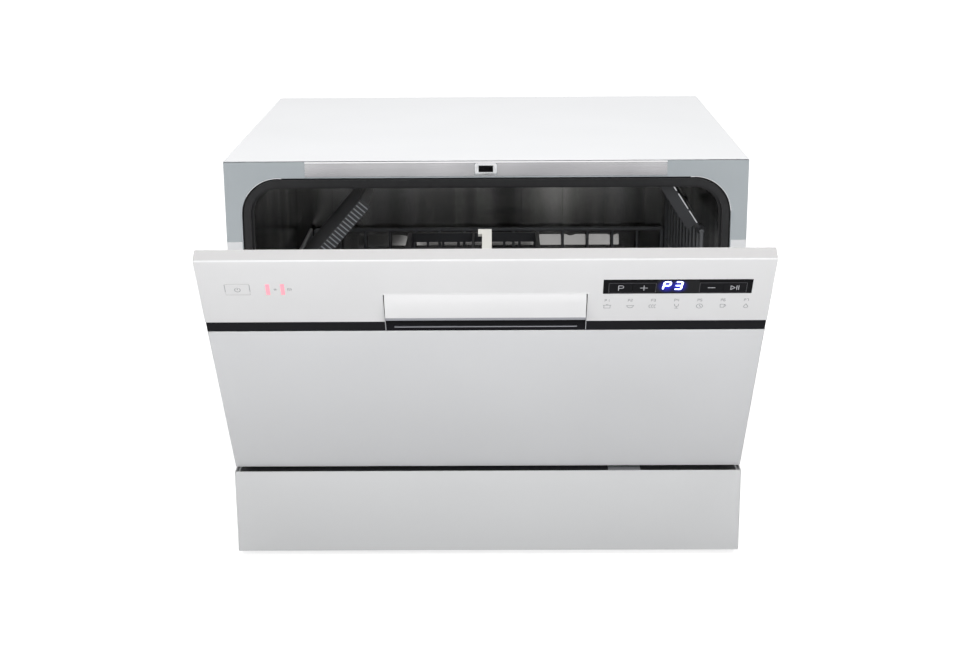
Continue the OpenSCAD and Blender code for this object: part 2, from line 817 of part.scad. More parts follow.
// Spray arm with two blades, a hub and its cap
module spray_arm() {
  color("gray") translate([0, tub_mid, arm_z]) difference() {
    union() {
      arm_blade();
      rotate([0, 0, 180]) arm_blade();
      cylinder(h = arm_t2 + 2, r = 30);
      translate([0, 0, arm_t2]) cylinder(h = 6.5, r = 19);
    }
    translate([0, 0, -1]) cylinder(h = arm_t2 + 4, r = arm_pivot_r + run);
  }
}

// Filter cup with slits round its wall and a grip on top
module filter_cup() {
  color("lightgray") translate([filter_x, filter_y, 0]) difference() {
    union() {
      post(0, 0, 74, floor_z + 2, filter_r);
      post(0, 0, floor_z + 1 + clear, floor_z + 3.3, filter_r + 4);
      translate([-24, -3, floor_z + 3]) cube([48, 6, 6]);
    }
    for (i = [0 : 17]) rotate([0, 0, i * 20])
      translate([filter_r - 3, -1.5, 80]) cube([5, 3, floor_z - 90]);
  }
}

// Salt cap with a grip bar
module softener_cap() {
  color("white") translate([soft_x, soft_y, 0]) {
    post(0, 0, floor_z - 16, floor_z + 1, soft_r - 0.5);
    post(0, 0, floor_z + clear, floor_z + 4.5, soft_r + 4);
    translate([-18, -2.5, floor_z + 4]) cube([36, 5, 4.5]);
  }
}

// ---- Door

// Painted lower skin: a pan with round front edges and notches for the hinge noses
module door_panel() {
  half = door_w / 2;
  color("white") on_door() difference() {
    linear_extrude(band_z) front_rounded(half, 0, door_t - 1, door_edge_r);
    box([-half + sheet_t, sheet_t, sheet_t], [half - sheet_t, door_t, band_z + 1]);
    both_sides()
      box([frame_half + 1, hinge_in - bracket_r - 1, -1], [half - sheet_t, door_t + 1, sheet_t + 1]);
  }
}

// Outline of the console in door space: front wall, top lip and back wall
module console_outline() {
  r = door_edge_r;
  difference() {
    union() {
      rect([r, console_z], [lip_d, door_h - r]);
      rect([0, console_z], [lip_d, door_h - r]);
      rect([r, door_h - 2 * r], [lip_d - 1, door_h]);
      translate([r, door_h - r]) circle(r);
      translate([lip_d - 1, door_h - 1]) circle(1);
      rect([lip_d - 1, door_h - r - 1], [lip_d, door_h - 1]);
    }
    rect([console_t, console_z - 1], [lip_d - console_t, door_h - console_t]);
    rect([console_t, console_z - 1], [lip_d + 1, liner_top - 6]);
  }
}

// Console moulding with its openings for the controls, the handle and the latch
module console() {
  half = door_w / 2;
  pocket = handle_w / 2 + pocket_gap;
  color("whitesmoke") on_door() difference() {
    union() {
      slab_x(-half, half) console_outline();
      both_sides() box([half - console_t, 1, console_z + 1], [half, lip_d - 1, door_h - 3]);
    }
    box([-pocket, -1, console_z - 1], [pocket, console_t + 1, handle_z + pocket_gap]);
    box([window_x + 1.5, -1, window_z + 1.5],
      [window_x + window_w - 1.5, console_t + 1, window_z + window_h - 1.5]);
    box([window_x, -1, window_z], [window_x + window_w, 1, window_z + window_h]);
    box([-power_x - power_w / 2 - clear, -1, button_z - clear],
      [-power_x + power_w / 2 + clear, console_t + 1, button_z + power_h + clear]);
    for (i = [0, 1])
      box([-lens_x + i * lens_pitch - lens_w / 2, -1, button_z],
        [-lens_x + i * lens_pitch + lens_w / 2, console_t + 1, button_z + power_h]);
    box([-tongue_w / 2 - 1.5, lip_d - console_t - 1, liner_top - 8],
      [tongue_w / 2 + 1.5, lip_d + 1, tongue_z + tongue_t + 3]);
  }
}

// Black band across the door with the scoop behind the handle
module console_band() {
  half = door_w / 2;
  pocket = handle_w / 2 + pocket_gap;
  scoop_half = pocket + console_t;
  scoop = [[band_set, band_z], [band_set + console_t, band_z], [scoop_d + console_t, band_z + 21],
    [scoop_d + console_t, scoop_z], [scoop_d, scoop_z], [scoop_d, band_z + 21]];
  color("black") on_door() {
    both_sides() {
      box([pocket, band_set, band_z], [half - 0.5, band_set + console_t, console_z]);
      box([pocket, band_set + 1, band_z], [half - 8, lip_d - 1, band_z + 1.5]);
      difference() {
        slab_x(pocket, scoop_half) polygon([[band_set, band_z], [console_t + bond, console_z],
          [console_t + bond, scoop_z], [scoop_d + console_t, scoop_z],
          [scoop_d + console_t, band_z + 21], [band_set + console_t, band_z]]);
        rod_x(pocket - 1, scoop_half + 1, handle_pivot_y, handle_pivot_z, handle_stub_r + run);
      }
    }
    slab_x(-pocket - 0.5, pocket + 0.5) {
      polygon(scoop);
      rect([console_t + bond, scoop_z - 1.5], [scoop_d + 1, scoop_z]);
    }
  }
}

// Steel inner panel with a pressed field, folded edges and a hole for the dispenser
module door_liner() {
  wide = door_w / 2 - 3;
  field = 190;
  color("silver") on_door() difference() {
    union() {
      slab_y(door_t - tub_t, door_t) {
        rect([-wide, 16], [wide, liner_top]);
        rect([-frame_half + 1, 4], [frame_half - 1, 20]);
      }
      box([-wide, lip_d + clear, liner_top - tub_t], [wide, door_t - tub_t / 2, liner_top]);
      both_sides() box([wide - tub_t, hinge_in + 7, 20], [wide, door_t - tub_t / 2, liner_top]);
      slab_y(door_t - 6, door_t - tub_t / 2) difference() {
        round_rect([-field - tub_t, 40 - tub_t], [field + tub_t, liner_top - 30 + tub_t], 31);
        round_rect([-field, 40], [field, liner_top - 30], 30);
      }
      slab_y(door_t - 6, door_t - 6 + tub_t) round_rect([-field, 40], [field, liner_top - 30], 30);
    }
    slab_y(door_t - 5, door_t + 1) round_rect([-field, 40], [field, liner_top - 30], 30);
    box([disp_x, 0, disp_z], [disp_x + disp_w, door_t + 1, disp_z + disp_h]);
  }
}

// Detergent dispenser: a moulded tray with a cup and a port for rinse aid
module dispenser_body() {
  deep = 6;
  face = disp_face;
  color("whitesmoke") on_door() difference() {
    union() {
      box([disp_x + clear, deep, disp_z + clear],
        [disp_x + disp_w - clear, face, disp_z + disp_h - clear]);
      for (x = ear_x)
        box([x, face - 0.5, lid_axis_z - 2.6], [x + ear_w, lid_axis_y + 2.4, lid_axis_z + 2.6]);
      slab_y(door_t - 5 + bond, face)
        round_rect([disp_x - 5, disp_z - 5], [disp_x + disp_w + 5, disp_z + disp_h + 5], 6);
    }
    slab_y(deep + 2.5, face + 1) round_rect([cup_x, cup_z], [cup_x + cup_w, cup_z + cup_h], 8);
    rod_y(face - 9, face + 1, rinse_x, cup_z + cup_h / 2, rinse_r - 3);
    rod_x(cup_x - 2, cup_x + cup_w + 2, lid_axis_y, lid_axis_z, lid_pin_r + run);
  }
}

// Hinge arms fastened inside the door's sides, with bores for the pins
module hinge_arms() {
  arm_x = bracket_x + bracket_t + 1;
  color("silver") on_door() both_sides() difference() {
    union() {
      slab_x(arm_x, arm_x + arm_t) {
        translate([hinge_in, hinge_up]) circle(bracket_r - 1);
        rect([hinge_in - 6, hinge_up], [hinge_in + 6, hinge_up + arm_l]);
        translate([hinge_in, hinge_up + arm_l]) circle(6);
      }
      box([arm_x + 0.5, hinge_in - 5, 42], [door_w / 2 - sheet_t, hinge_in + 5, 120]);
    }
    rod_x(arm_x - 1, arm_x + arm_t + 1, hinge_in, hinge_up, hinge_pin_r + run);
  }
}

// Circuit board behind the console, on its screw posts
module control_board() {
  color("darkgreen") on_door() {
    box([window_x - 2, 9, window_z - 12], [window_x + window_w + 2, 10.6, window_z + window_h + 6]);
    for (x = [window_x + 4, window_x + window_w - 4])
      rod_y(console_t, 9.5, x, window_z - 8, 2.5);
  }
}

// Dark display window with openings for the two pairs of keys
module display_window() {
  color("black") on_door() difference() {
    union() {
      box([window_x + bond, -0.3, window_z + bond],
        [window_x + window_w - bond, 1, window_z + window_h - bond]);
      box([window_x + 1.6, 0.5, window_z + 1.6],
        [window_x + window_w - 1.6, console_t, window_z + window_h - 1.6]);
    }
    for (i = [0, 2])
      box([key_xs[i] - clear, -1, key_z - clear],
        [key_xs[i] + 2 * key_w + clear, console_t + 1, key_z + key_h + clear]);
  }
}

// Two slim indicator lenses
module indicator_lenses() {
  color("lightpink") on_door() for (i = [0, 1])
    box([-lens_x + i * lens_pitch - lens_w / 2 + bond, -0.3, button_z + bond],
      [-lens_x + i * lens_pitch + lens_w / 2 - bond, console_t + 2, button_z + power_h - bond]);
}

// Housing that carries the latch tongue
module latch_body() {
  side = tongue_w / 2 + 1;
  color("gray") on_door() {
    both_sides() difference() {
      box([side, console_t + bond, latch_pivot_z - 9],
        [side + 3, lip_d - console_t - bond, latch_pivot_z + 9]);
      rod_x(side - 1, side + 4, latch_pivot_y, latch_pivot_z, 2);
    }
    rod_x(-side - 3, side + 3, latch_pivot_y, latch_pivot_z, 2);
  }
}

// Pull handle: sloping shoulder, face and pivot barrel
module handle_lever() {
  half = handle_w / 2;
  t = handle_t;
  shoulder_z = handle_z - handle_shoulder_h;
  outer = [[0, handle_z], [-handle_out, shoulder_z], [-handle_lip_out, lip_z],
    [-handle_lip_out + t, lip_z], [-handle_out + t, shoulder_z], [t, handle_z - t]];
  color("whitesmoke") on_door() {
    slab_x(-half, half) {
      polygon(outer);
      polygon([[0, handle_z], [t, handle_z - t], [handle_pivot_y, handle_pivot_z - 2],
        [handle_pivot_y, handle_pivot_z + 2]]);
      translate([handle_pivot_y, handle_pivot_z]) circle(handle_pivot_r);
    }
    rod_x(-half - pocket_gap - console_t, half + pocket_gap + console_t,
      handle_pivot_y, handle_pivot_z, handle_stub_r);
    both_sides() slab_x(half - t, half) polygon([[0, handle_z], [-handle_out, shoulder_z],
      [-handle_lip_out, lip_z], [0, lip_z], [handle_pivot_y, handle_pivot_z]]);
  }
}

// Bright lip along the handle's lower edge
module handle_lip() {
  color("silver") on_door() slab_x(-handle_w / 2, handle_w / 2)
    polygon([[-handle_lip_out, lip_z], [-handle_lip_out + 1, lip_z - handle_lip_h],
      [-handle_lip_out + 3, lip_z - handle_lip_h], [-handle_lip_out + handle_t, lip_z]]);
}

// Latch tongue with the window that the catch drops into
module latch_hook() {
  color("white") on_door() difference() {
    union() {
      slab_x(-tongue_w / 2, tongue_w / 2)
        polygon([[latch_pivot_y - 3, latch_pivot_z], [latch_pivot_y - 2, tongue_z + 1],
          [latch_pivot_y + 1, tongue_z + tongue_t], [tongue_reach - 3, tongue_z + tongue_t],
          [tongue_reach, tongue_z + 1], [tongue_reach - 1, tongue_z], [lip_d - 0.5, tongue_z],
          [latch_pivot_y + 3, latch_pivot_z]]);
      rod_x(-tongue_w / 2 - 0.2, tongue_w / 2 + 0.2, latch_pivot_y, latch_pivot_z, 4.2);
    }
    rod_x(-tongue_w, tongue_w, latch_pivot_y, latch_pivot_z, 2 + run);
    box([-tongue_w / 2 - 1, lip_d + 2, tongue_z - 1],
      [-tongue_w / 2 + 3.8, tongue_reach - 9, tongue_z + tongue_t + 1]);
  }
}

// Power button with its guide stem
module power_button() {
  color("whitesmoke") on_door() {
    box([-power_x - power_w / 2, 0, button_z], [-power_x + power_w / 2, 5, button_z + power_h]);
    rod_y(4.5, 8, -power_x, button_z + power_h / 2, 3);
  }
}

// One key of the control panel
module key(i) {
  color("black") on_door()
    box([key_xs[i] + 0.1, -0.3, key_z], [key_xs[i] + key_w - 0.1, 9 - key_travel - clear, key_z + key_h]);
}

module programme_key() {
  key(0);
}

module plus_key() {
  key(1);
}

module minus_key() {
  key(2);
}

module start_key() {
  key(3);
}

// Lid of the detergent cup, with a barrel and pins along its upper edge
module dispenser_lid() {
  face = disp_face;
  color("lightgray") on_door() {
    difference() {
      slab_y(face + clear, face + clear + lid_t)
        round_rect([cup_x - 3, cup_z - 3], [cup_x + cup_w + 3, cup_z + cup_h + 3], 8);
      for (x = [cup_x - 4, cup_x + cup_w - 4])
        box([x, face, lid_axis_z - 4.3], [x + 8, face + 4, lid_axis_z + 3]);
    }
    box([cup_x + cup_w / 2 - 12, face + clear, cup_z - 1], [cup_x + cup_w / 2 + 12, face + 4, cup_z + 4]);
    rod_x(cup_x + 4.2, cup_x + cup_w - 4.2, lid_axis_y, lid_axis_z, lid_barrel_r);
    rod_x(cup_x, cup_x + cup_w, lid_axis_y, lid_axis_z, lid_pin_r);
  }
}

// Round cap of the rinse aid port
module rinse_cap() {
  face = disp_face;
  color("lightgray") on_door() {
    rod_y(face + clear, face + 2.5, rinse_x, cup_z + cup_h / 2, rinse_r);
    rod_y(face - 7, face + 1, rinse_x, cup_z + cup_h / 2, rinse_r - 3.4);
    box([rinse_x - 11, face + 2, cup_z + cup_h / 2 - 1.5],
      [rinse_x + 11, face + 4.5, cup_z + cup_h / 2 + 1.5]);
  }
}

// ---- Rack

// Welded floor with its wheel carriers and axles
module rack_floor() {
  inner = rack_half - rim_r;
  y0 = rack_y + foot_set;
  cross = [y0 + 50, y0 + 110, tub_mid + 20, tine_y, rack_back - 40];
  color("silver") {
    for (i = [-floor_wires : floor_wires])
      rod_y(y0, rack_back - rim_r, i * tine_pitch, long_z, wire_r);
    for (y = cross) rod_x(-inner, inner, y, long_z - 2 * wire_r + wire_lap, wire_r);
    for (y = [y0, rack_back - rim_r]) rod_x(-inner, inner, y, long_z, rim_r);
    both_sides() rod_y(y0, rack_back - rim_r, inner, long_z, rim_r);
    both_sides() for (y = wheel_ys) {
      box([wheel_x - 4.5, y - 7, wheel_z - 6], [wheel_x - 1.5, y + 7, long_z - wire_r - bond]);
      box([wheel_x - 4.5, y - 7, wheel_z + wheel_r + clear],
        [inner - rim_r - bond, y + 7, long_z - wire_r - bond]);
      rod_x(wheel_x - 4, wheel_x + wheel_w + 2, y, wheel_z, axle_r);
    }
    fold_feet = [[tine_x - 12, tine_x - 12, tine_x + wire_r],
      [fold_end + 3, fold_end - wire_r, fold_end + 7]];
    for (foot = fold_feet)
      difference() {
        x = foot[0];
        union() {
          box([x, fold_y - 4, long_z + wire_r + bond], [x + 4, fold_y + 4, fold_z + 4]);
          box([foot[1], fold_y - 4, long_z + wire_r + bond], [foot[2], fold_y + 4, long_z + wire_r + 1.3]);
        }
        rod_x(x - 1, x + 5, fold_y, fold_z, wire_r + run);
      }
  }
}

// One flat wall of upright wires between a foot and a rim, in its own plane
module wall_grille(length, height, count) {
  pitch = length / (count + 1);
  for (i = [1 : count]) translate([i * pitch, 0, 0]) cylinder(h = height, r = wire_r);
  for (z = [height / 2, height])
    translate([0, 0, z]) rotate([0, 90, 0]) cylinder(h = length, r = z < height ? wire_r : rim_r);
  for (x = [0, length]) translate([x, 0, 0]) cylinder(h = height, r = rim_r);
}

// Four walls; the right one rises to carry the upper shelf
module rack_walls() {
  inner = rack_half - rim_r;
  z0 = long_z + rim_r + bond;
  tall = glass_z - z0;
  low = rack_top - z0;
  y0 = rack_y + foot_set;
  side_l = rack_back - rim_r - y0;
  gap = 2 * rim_r + 1;
  color("silver") {
    translate([-inner, y0, z0]) rotate([0, 0, 90]) wall_grille(side_l, low, 10);
    translate([inner, y0, z0]) rotate([0, 0, 90]) wall_grille(side_l, tall, 10);
    translate([-inner + gap, rack_back - rim_r, z0]) wall_grille(2 * (inner - gap), low, 13);
    translate([-inner + gap, y0, z0]) rotate([atan(foot_set / low), 0, 0])
      wall_grille(2 * (inner - gap), low - 12, 13);
  }
}

// Fixed tines that stand on the floor
module rack_tines() {
  z0 = long_z - wire_r + wire_lap + bond;
  color("silver") {
    for (i = [0 : 6]) tine(tine_x + (i + 0.5) * tine_pitch, tine_y, z0);
    for (i = [0 : 4]) tine(-(i + 6.5) * tine_pitch, tine_y, z0);
  }
}

// One tine with a round tip
module tine(x, y, z) {
  post(x, y, z, z + tine_h, wire_r);
  translate([x, y, z + tine_h]) sphere(wire_r + 0.6);
}

// Row of tines on a rod that folds down
module folding_tines() {
  color("silver") {
    rod_x(tine_x - 14, fold_end + 7.5, fold_y, fold_z, wire_r);
    for (i = [0 : 7]) tine(tine_x + i * tine_pitch, fold_y, fold_z);
  }
}

// Pair of wheels with a groove and a bore
module wheel_pair(y) {
  color("lightgray") both_sides() difference() {
    union() {
      rod_x(wheel_x, wheel_x + wheel_w, y, wheel_z, wheel_r - 1);
      rod_x(wheel_x + 2, wheel_x + wheel_w - 2, y, wheel_z, wheel_r);
    }
    rod_x(wheel_x - 1, wheel_x + wheel_w + 1, y, wheel_z, axle_r + run);
    rod_x(wheel_x + wheel_w - 2.5, wheel_x + wheel_w + 1, y, wheel_z, wheel_r - 4);
  }
}

module front_wheels() {
  wheel_pair(wheel_ys[0]);
}

module rear_wheels() {
  wheel_pair(wheel_ys[1]);
}

// Flat shelf with slots and a deep front edge, drawn level from its pivot at the origin
module cup_shelf(reach, length, slots) {
  start = barrel_r + 0.5;
  pitch = (length - 12) / slots;
  barrel_ys = [8, length - 40];
  difference() {
    union() {
      box([start - 2, 0, -shelf_t / 2], [reach, length, shelf_t / 2]);
      box([start + 4, 0, -12], [reach, 2.4, shelf_t / 2]);
      box([reach - 2.4, 0, -9], [reach, length, shelf_t / 2]);
      for (y = barrel_ys) rod_y(y, y + 16, 0, 0, barrel_r);
      for (y = barrel_ys) box([0, y, -shelf_t / 2], [start, y + 16, shelf_t / 2]);
    }
    for (y = barrel_ys) rod_y(y - 1, y + 17, 0, 0, rim_r + run);
    for (i = [0 : slots - 1])
      box([start + 8, 9 + i * pitch, -5], [reach - 8, 9 + i * pitch + pitch * 0.55, 5]);
  }
}

module cup_shelf_left() {
  color("dimgray") translate([-pivot_half, shelf_y, rack_top]) rotate([0, -shelf_angle, 0])
    cup_shelf(shelf_reach, shelf_l, 16);
}

module cup_shelf_right() {
  color("dimgray") mirror([1, 0, 0]) translate([-pivot_half, shelf_y, glass_z])
    rotate([0, -glass_angle, 0]) cup_shelf(glass_reach, shelf_l, 16);
}

// Lattice basket with a divider and a carrying bow
module cutlery_basket() {
  t = basket_t;
  rows = 4;
  row_h = (basket_h - 12) / rows;
  nx = 8;
  px = (basket_w - 6) / nx;
  ny = 4;
  py = (basket_d - 6) / ny;
  color("dimgray") translate([basket_x, basket_y, basket_z]) difference() {
    union() {
      box([0, 0, 0], [basket_w, basket_d, basket_h]);
      translate([0, 0, basket_h - 6]) box([-2, -2, 0], [basket_w + 2, basket_d + 2, 6]);
    }
    for (i = [0, 1])
      box([t + i * (basket_w - t) / 2, t, t],
        [t + (basket_w - 3 * t) / 2 + i * (basket_w - t) / 2, basket_d - t, basket_h + 1]);
    for (k = [0 : rows - 1]) {
      for (i = [0 : nx - 1])
        box([4.5 + i * px, -1, 5 + k * row_h], [1.5 + (i + 1) * px, basket_d + 1, 1 + (k + 1) * row_h]);
      for (i = [0 : ny - 1])
        box([-1, 4.5 + i * py, 5 + k * row_h], [t + 1, 1.5 + (i + 1) * py, 1 + (k + 1) * row_h]);
      for (i = [0 : ny - 1])
        box([basket_w - t - 1, 4.5 + i * py, 5 + k * row_h],
          [basket_w + 1, 1.5 + (i + 1) * py, 1 + (k + 1) * row_h]);
    }
  }
}

top_panel();
left_side_panel();
right_side_panel();
back_panel();
base_tray();
plinth();
tub_wrapper();
tub_back();
tub_floor();
front_frame();
frame_trim();
latch_strike();
tub_gasket();
sill_seal();
sump();
filter_plate();
circulation_pump();
drain_pump();
inlet_valve();
drain_outlet();
air_break();
softener_tank();
hinge_brackets();
cable_gland();
panel_screws();
rear_feet();
front_foot_left();
front_foot_right();
spray_arm();
filter_cup();
softener_cap();
door_panel();
console();
console_band();
door_liner();
dispenser_body();
hinge_arms();
control_board();
display_window();
indicator_lenses();
latch_body();
handle_lever();
handle_lip();
latch_hook();
power_button();
programme_key();
plus_key();
minus_key();
start_key();
dispenser_lid();
rinse_cap();
rack_floor();
rack_walls();
rack_tines();
folding_tines();
front_wheels();
rear_wheels();
cup_shelf_left();
cup_shelf_right();
cutlery_basket();
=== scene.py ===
import math

import bmesh
import bpy
from mathutils import Matrix, Vector


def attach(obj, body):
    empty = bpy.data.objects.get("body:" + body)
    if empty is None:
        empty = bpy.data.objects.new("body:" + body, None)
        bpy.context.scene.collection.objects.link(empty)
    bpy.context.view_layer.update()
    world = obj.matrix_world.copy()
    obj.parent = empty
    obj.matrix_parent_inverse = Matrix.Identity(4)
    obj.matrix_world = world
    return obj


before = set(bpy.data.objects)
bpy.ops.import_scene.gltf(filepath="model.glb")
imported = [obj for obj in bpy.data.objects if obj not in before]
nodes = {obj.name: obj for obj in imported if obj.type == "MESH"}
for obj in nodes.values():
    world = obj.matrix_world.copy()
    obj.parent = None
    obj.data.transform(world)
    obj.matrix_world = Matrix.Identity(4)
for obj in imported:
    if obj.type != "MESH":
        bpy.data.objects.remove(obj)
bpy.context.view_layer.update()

mm = 0.001
print("frame loaded:", len(nodes), "pieces")

# the camera, as the photograph was taken
cameraSettings = {
    "place": (0.01319, -1.82039, 0.7385),  # metres, a little to the right of the middle
    "downDeg": 15.90,
    "yaw": 0.00904,  # radians, as roll is
    "roll": -0.00693,
    "lens": 60.257,  # millimetres, as the sensor's width is
    "sensor": 36,
    "clipStart": 0.05,
}


def makeCamera(settings):
    data = bpy.data.cameras.new("photoCamera")
    data.sensor_width = settings["sensor"]
    data.lens = settings["lens"]
    data.clip_start = settings["clipStart"]
    camera = bpy.data.objects.new("photoCamera", data)
    bpy.context.scene.collection.objects.link(camera)
    yaw, roll, down = settings["yaw"], settings["roll"], math.radians(settings["downDeg"])
    across = Vector((math.cos(yaw), math.sin(yaw), 0))
    level = Vector((-math.sin(yaw), math.cos(yaw), 0))
    forward = math.cos(down) * level - math.sin(down) * Vector((0, 0, 1))
    upward = math.sin(down) * level + math.cos(down) * Vector((0, 0, 1))
    right = math.cos(roll) * across + math.sin(roll) * upward
    top = -math.sin(roll) * across + math.cos(roll) * upward
    turn = Matrix((right, top, -forward)).transposed().to_4x4()
    camera.matrix_world = Matrix.Translation(settings["place"]) @ turn
    bpy.context.scene.camera = camera


makeCamera(cameraSettings)
print("camera made")

# door space: x across, n inward from the door's outer face, h up from its bottom edge
# the hinge's axis in the frame, and how far in and up it lies in door space, both in metres
door = {"hingeY": -0.160095, "hingeZ": 0.114, "hingeIn": 0.010, "hingeUp": 0.002, "angleDeg": 33}
doorTurn = (Matrix.Translation((0, door["hingeY"], door["hingeZ"]))
            @ Matrix.Rotation(math.radians(door["angleDeg"]), 4, "X")
            @ Matrix.Translation((0, -door["hingeIn"], -door["hingeUp"])))


def boxOf(name, turn=Matrix.Identity(4)):
    # a CAD piece's lower and upper corner in millimetres, in the space that turn leads out of
    toSpace = turn.inverted() @ nodes[name].matrix_world
    points = [toSpace @ v.co / mm for v in nodes[name].data.vertices]
    return (Vector([min(p[i] for p in points) for i in range(3)]),
            Vector([max(p[i] for p in points) for i in range(3)]))


def doorBox(name):
    return boxOf(name, doorTurn)


doorTop = doorBox("console")[1].z  # millimetres; the console's signs are placed below it


# node helpers
def linear(hexColour):
    parts = [int(hexColour[i:i + 2], 16) / 255 for i in (1, 3, 5)]
    return tuple(p / 12.92 if p <= 0.04045 else ((p + 0.055) / 1.055) ** 2.4 for p in parts) + (1,)


def addNode(tree, kind, values=None, **settings):
    node = tree.nodes.new(kind)
    for name, value in settings.items():
        setattr(node, name, value)
    for key, value in (values or {}).items():
        if isinstance(value, bpy.types.NodeSocket):
            tree.links.new(value, node.inputs[key])
        else:
            node.inputs[key].default_value = value
    return node


def startMaterial(name, **shader):
    material = bpy.data.materials.new(name)
    material.use_nodes = True
    tree = material.node_tree
    tree.nodes.clear()
    surface = addNode(tree, "ShaderNodeBsdfPrincipled", shader)
    out = addNode(tree, "ShaderNodeOutputMaterial")
    tree.links.new(surface.outputs[0], out.inputs[0])
    return material, tree, surface


def perMetre(sizeMm):
    return 1000 / sizeMm


def objectSpace(tree):
    return addNode(tree, "ShaderNodeTexCoord").outputs["Object"]


def grain(tree, sizeMm, stretch=(1, 1, 1), detail=3.0, seed=0.0):
    # noise in the object's own metres; stretch above 1 draws it out along that axis
    scaled = addNode(tree, "ShaderNodeMapping", {
        "Vector": objectSpace(tree), "Location": (seed, seed * 0.7, seed * 1.3),
        "Scale": tuple(perMetre(sizeMm) / s for s in stretch)})
    return addNode(tree, "ShaderNodeTexNoise", {
        "Vector": scaled.outputs[0], "Scale": 1.0, "Detail": detail, "Roughness": 0.5}).outputs["Fac"]


def spread(tree, value, low, high, fromLow=0.2, fromHigh=0.8):
    return addNode(tree, "ShaderNodeMapRange", {
        "Value": value, "From Min": fromLow, "From Max": fromHigh, "To Min": low, "To Max": high}).outputs[0]


def twoTone(tree, value, dark, light, fromLow=0.2, fromHigh=0.8):
    mix = addNode(tree, "ShaderNodeMix", {
        0: spread(tree, value, 0, 1, fromLow, fromHigh), 6: linear(dark), 7: linear(light)},
        data_type="RGBA")
    return mix.outputs[2]


def bump(tree, value, depthMm):
    return addNode(tree, "ShaderNodeBump", {"Height": value, "Distance": depthMm * mm}).outputs[0]


def feed(tree, surface, **sockets):
    names = {"colour": "Base Color", "roughness": "Roughness", "normal": "Normal",
             "glow": "Emission Strength"}
    for key, value in sockets.items():
        tree.links.new(value, surface.inputs[names[key]])


def maths(tree, operation, a, b):
    return addNode(tree, "ShaderNodeMath", {0: a, 1: b}, operation=operation).outputs[0]


def onRays(tree, *kinds):
    # 1 on rays of the given kinds, 0 on all others
    paths = addNode(tree, "ShaderNodeLightPath")
    given = paths.outputs[kinds[0]]
    for kind in kinds[1:]:
        given = maths(tree, "MAXIMUM", given, paths.outputs[kind])
    return given


# materials, each made as the real one is, with painted light and shade where noted
def sprayedEnamel(name, dark, light, rough=0.3):
    # baked enamel on pressed steel sheet: faint orange peel 2.5 mm wide under a thin clear layer
    material, tree, surface = startMaterial(name, **{
        "Roughness": rough, "IOR": 1.5, "Coat Weight": 0.15, "Coat Roughness": 0.15})
    feed(tree, surface, colour=twoTone(tree, grain(tree, 140, detail=1), dark, light),
         roughness=spread(tree, grain(tree, 120, detail=1, seed=7), rough - 0.02, rough + 0.02),
         normal=bump(tree, grain(tree, 2.5, detail=1, seed=3), 0.003))
    return material


def byFacing(tree, colour, toward, tones):
    # multiplies a colour by tones set by how far the surface turns toward a direction of the object's own
    # space, painting light and shade by facing
    facing = addNode(tree, "ShaderNodeVectorMath", {
        0: addNode(tree, "ShaderNodeTexCoord").outputs["Normal"], 1: toward}, operation="DOT_PRODUCT")
    ramp = addNode(tree, "ShaderNodeValToRGB", {0: facing.outputs["Value"]})
    while len(ramp.color_ramp.elements) < len(tones):
        ramp.color_ramp.elements.new(0.5)
    for element, (place, tone) in zip(ramp.color_ramp.elements, tones):
        element.position, element.color = place, (*tone, 1)
    return addNode(tree, "ShaderNodeMix", {0: 1.0, 6: colour, 7: ramp.outputs[0]},
                   data_type="RGBA", blend_type="MULTIPLY").outputs[2]


def mouldedPlastic(name, dark, light, rough=0.35, grit=0.8, coat=0.0, depth=0.015, gloss=0.5):
    # injection moulded ABS or PP: fine spark-eroded grain and a slight drift of tone
    material, tree, surface = startMaterial(name, **{
        "Roughness": rough, "IOR": 1.49, "Coat Weight": coat, "Coat Roughness": 0.08,
        "Specular IOR Level": gloss})
    feed(tree, surface, colour=twoTone(tree, grain(tree, 90, detail=1), dark, light),
         roughness=spread(tree, grain(tree, 80, detail=1, seed=5), rough - 0.02, rough + 0.02),
         normal=bump(tree, grain(tree, grit, detail=2, seed=2), depth))
    return material


def brushedSteel(name, dark, light, rough=0.28, stretch=(60, 1, 1), line=1.2, depth=0.001, swing=0.05):
    # stainless sheet: soft belt-brushed lines, long along the rolling direction
    material, tree, surface = startMaterial(name, **{"Roughness": rough, "Metallic": 1.0})
    lines = grain(tree, line, stretch=stretch, detail=2)
    feed(tree, surface, colour=twoTone(tree, grain(tree, 70, detail=1, seed=4), dark, light),
         roughness=spread(tree, lines, rough - swing, rough + swing),
         normal=bump(tree, lines, depth))
    return material


def bandedSteel(name, dark, light, rough=0.2, bandMm=45, depth=0.25, swing=0.03):
    # deep-drawn stainless tub: bright annealed sheet whose colour runs in soft upright bands of painted
    # reflection, which also set its roughness and bump
    material, tree, surface = startMaterial(name, **{"Roughness": rough, "Metallic": 1.0})
    bands = grain(tree, bandMm, stretch=(1, 1, 14), detail=2, seed=0.3)
    feed(tree, surface, colour=twoTone(tree, bands, dark, light, 0.3, 0.7),
         roughness=spread(tree, bands, rough - swing, rough + swing),
         normal=bump(tree, bands, depth))
    return material


def drawnWire(name, dark, light, rough=0.3):
    # nylon-dipped steel wire: smooth with small sags in the dip
    material, tree, surface = startMaterial(name, **{
        "Roughness": rough, "IOR": 1.53, "Coat Weight": 0.4, "Coat Roughness": 0.1})
    feed(tree, surface, colour=twoTone(tree, grain(tree, 18), dark, light),
         roughness=spread(tree, grain(tree, 6, seed=2), rough - 0.05, rough + 0.1),
         normal=bump(tree, grain(tree, 4, seed=6), 0.05))
    return material


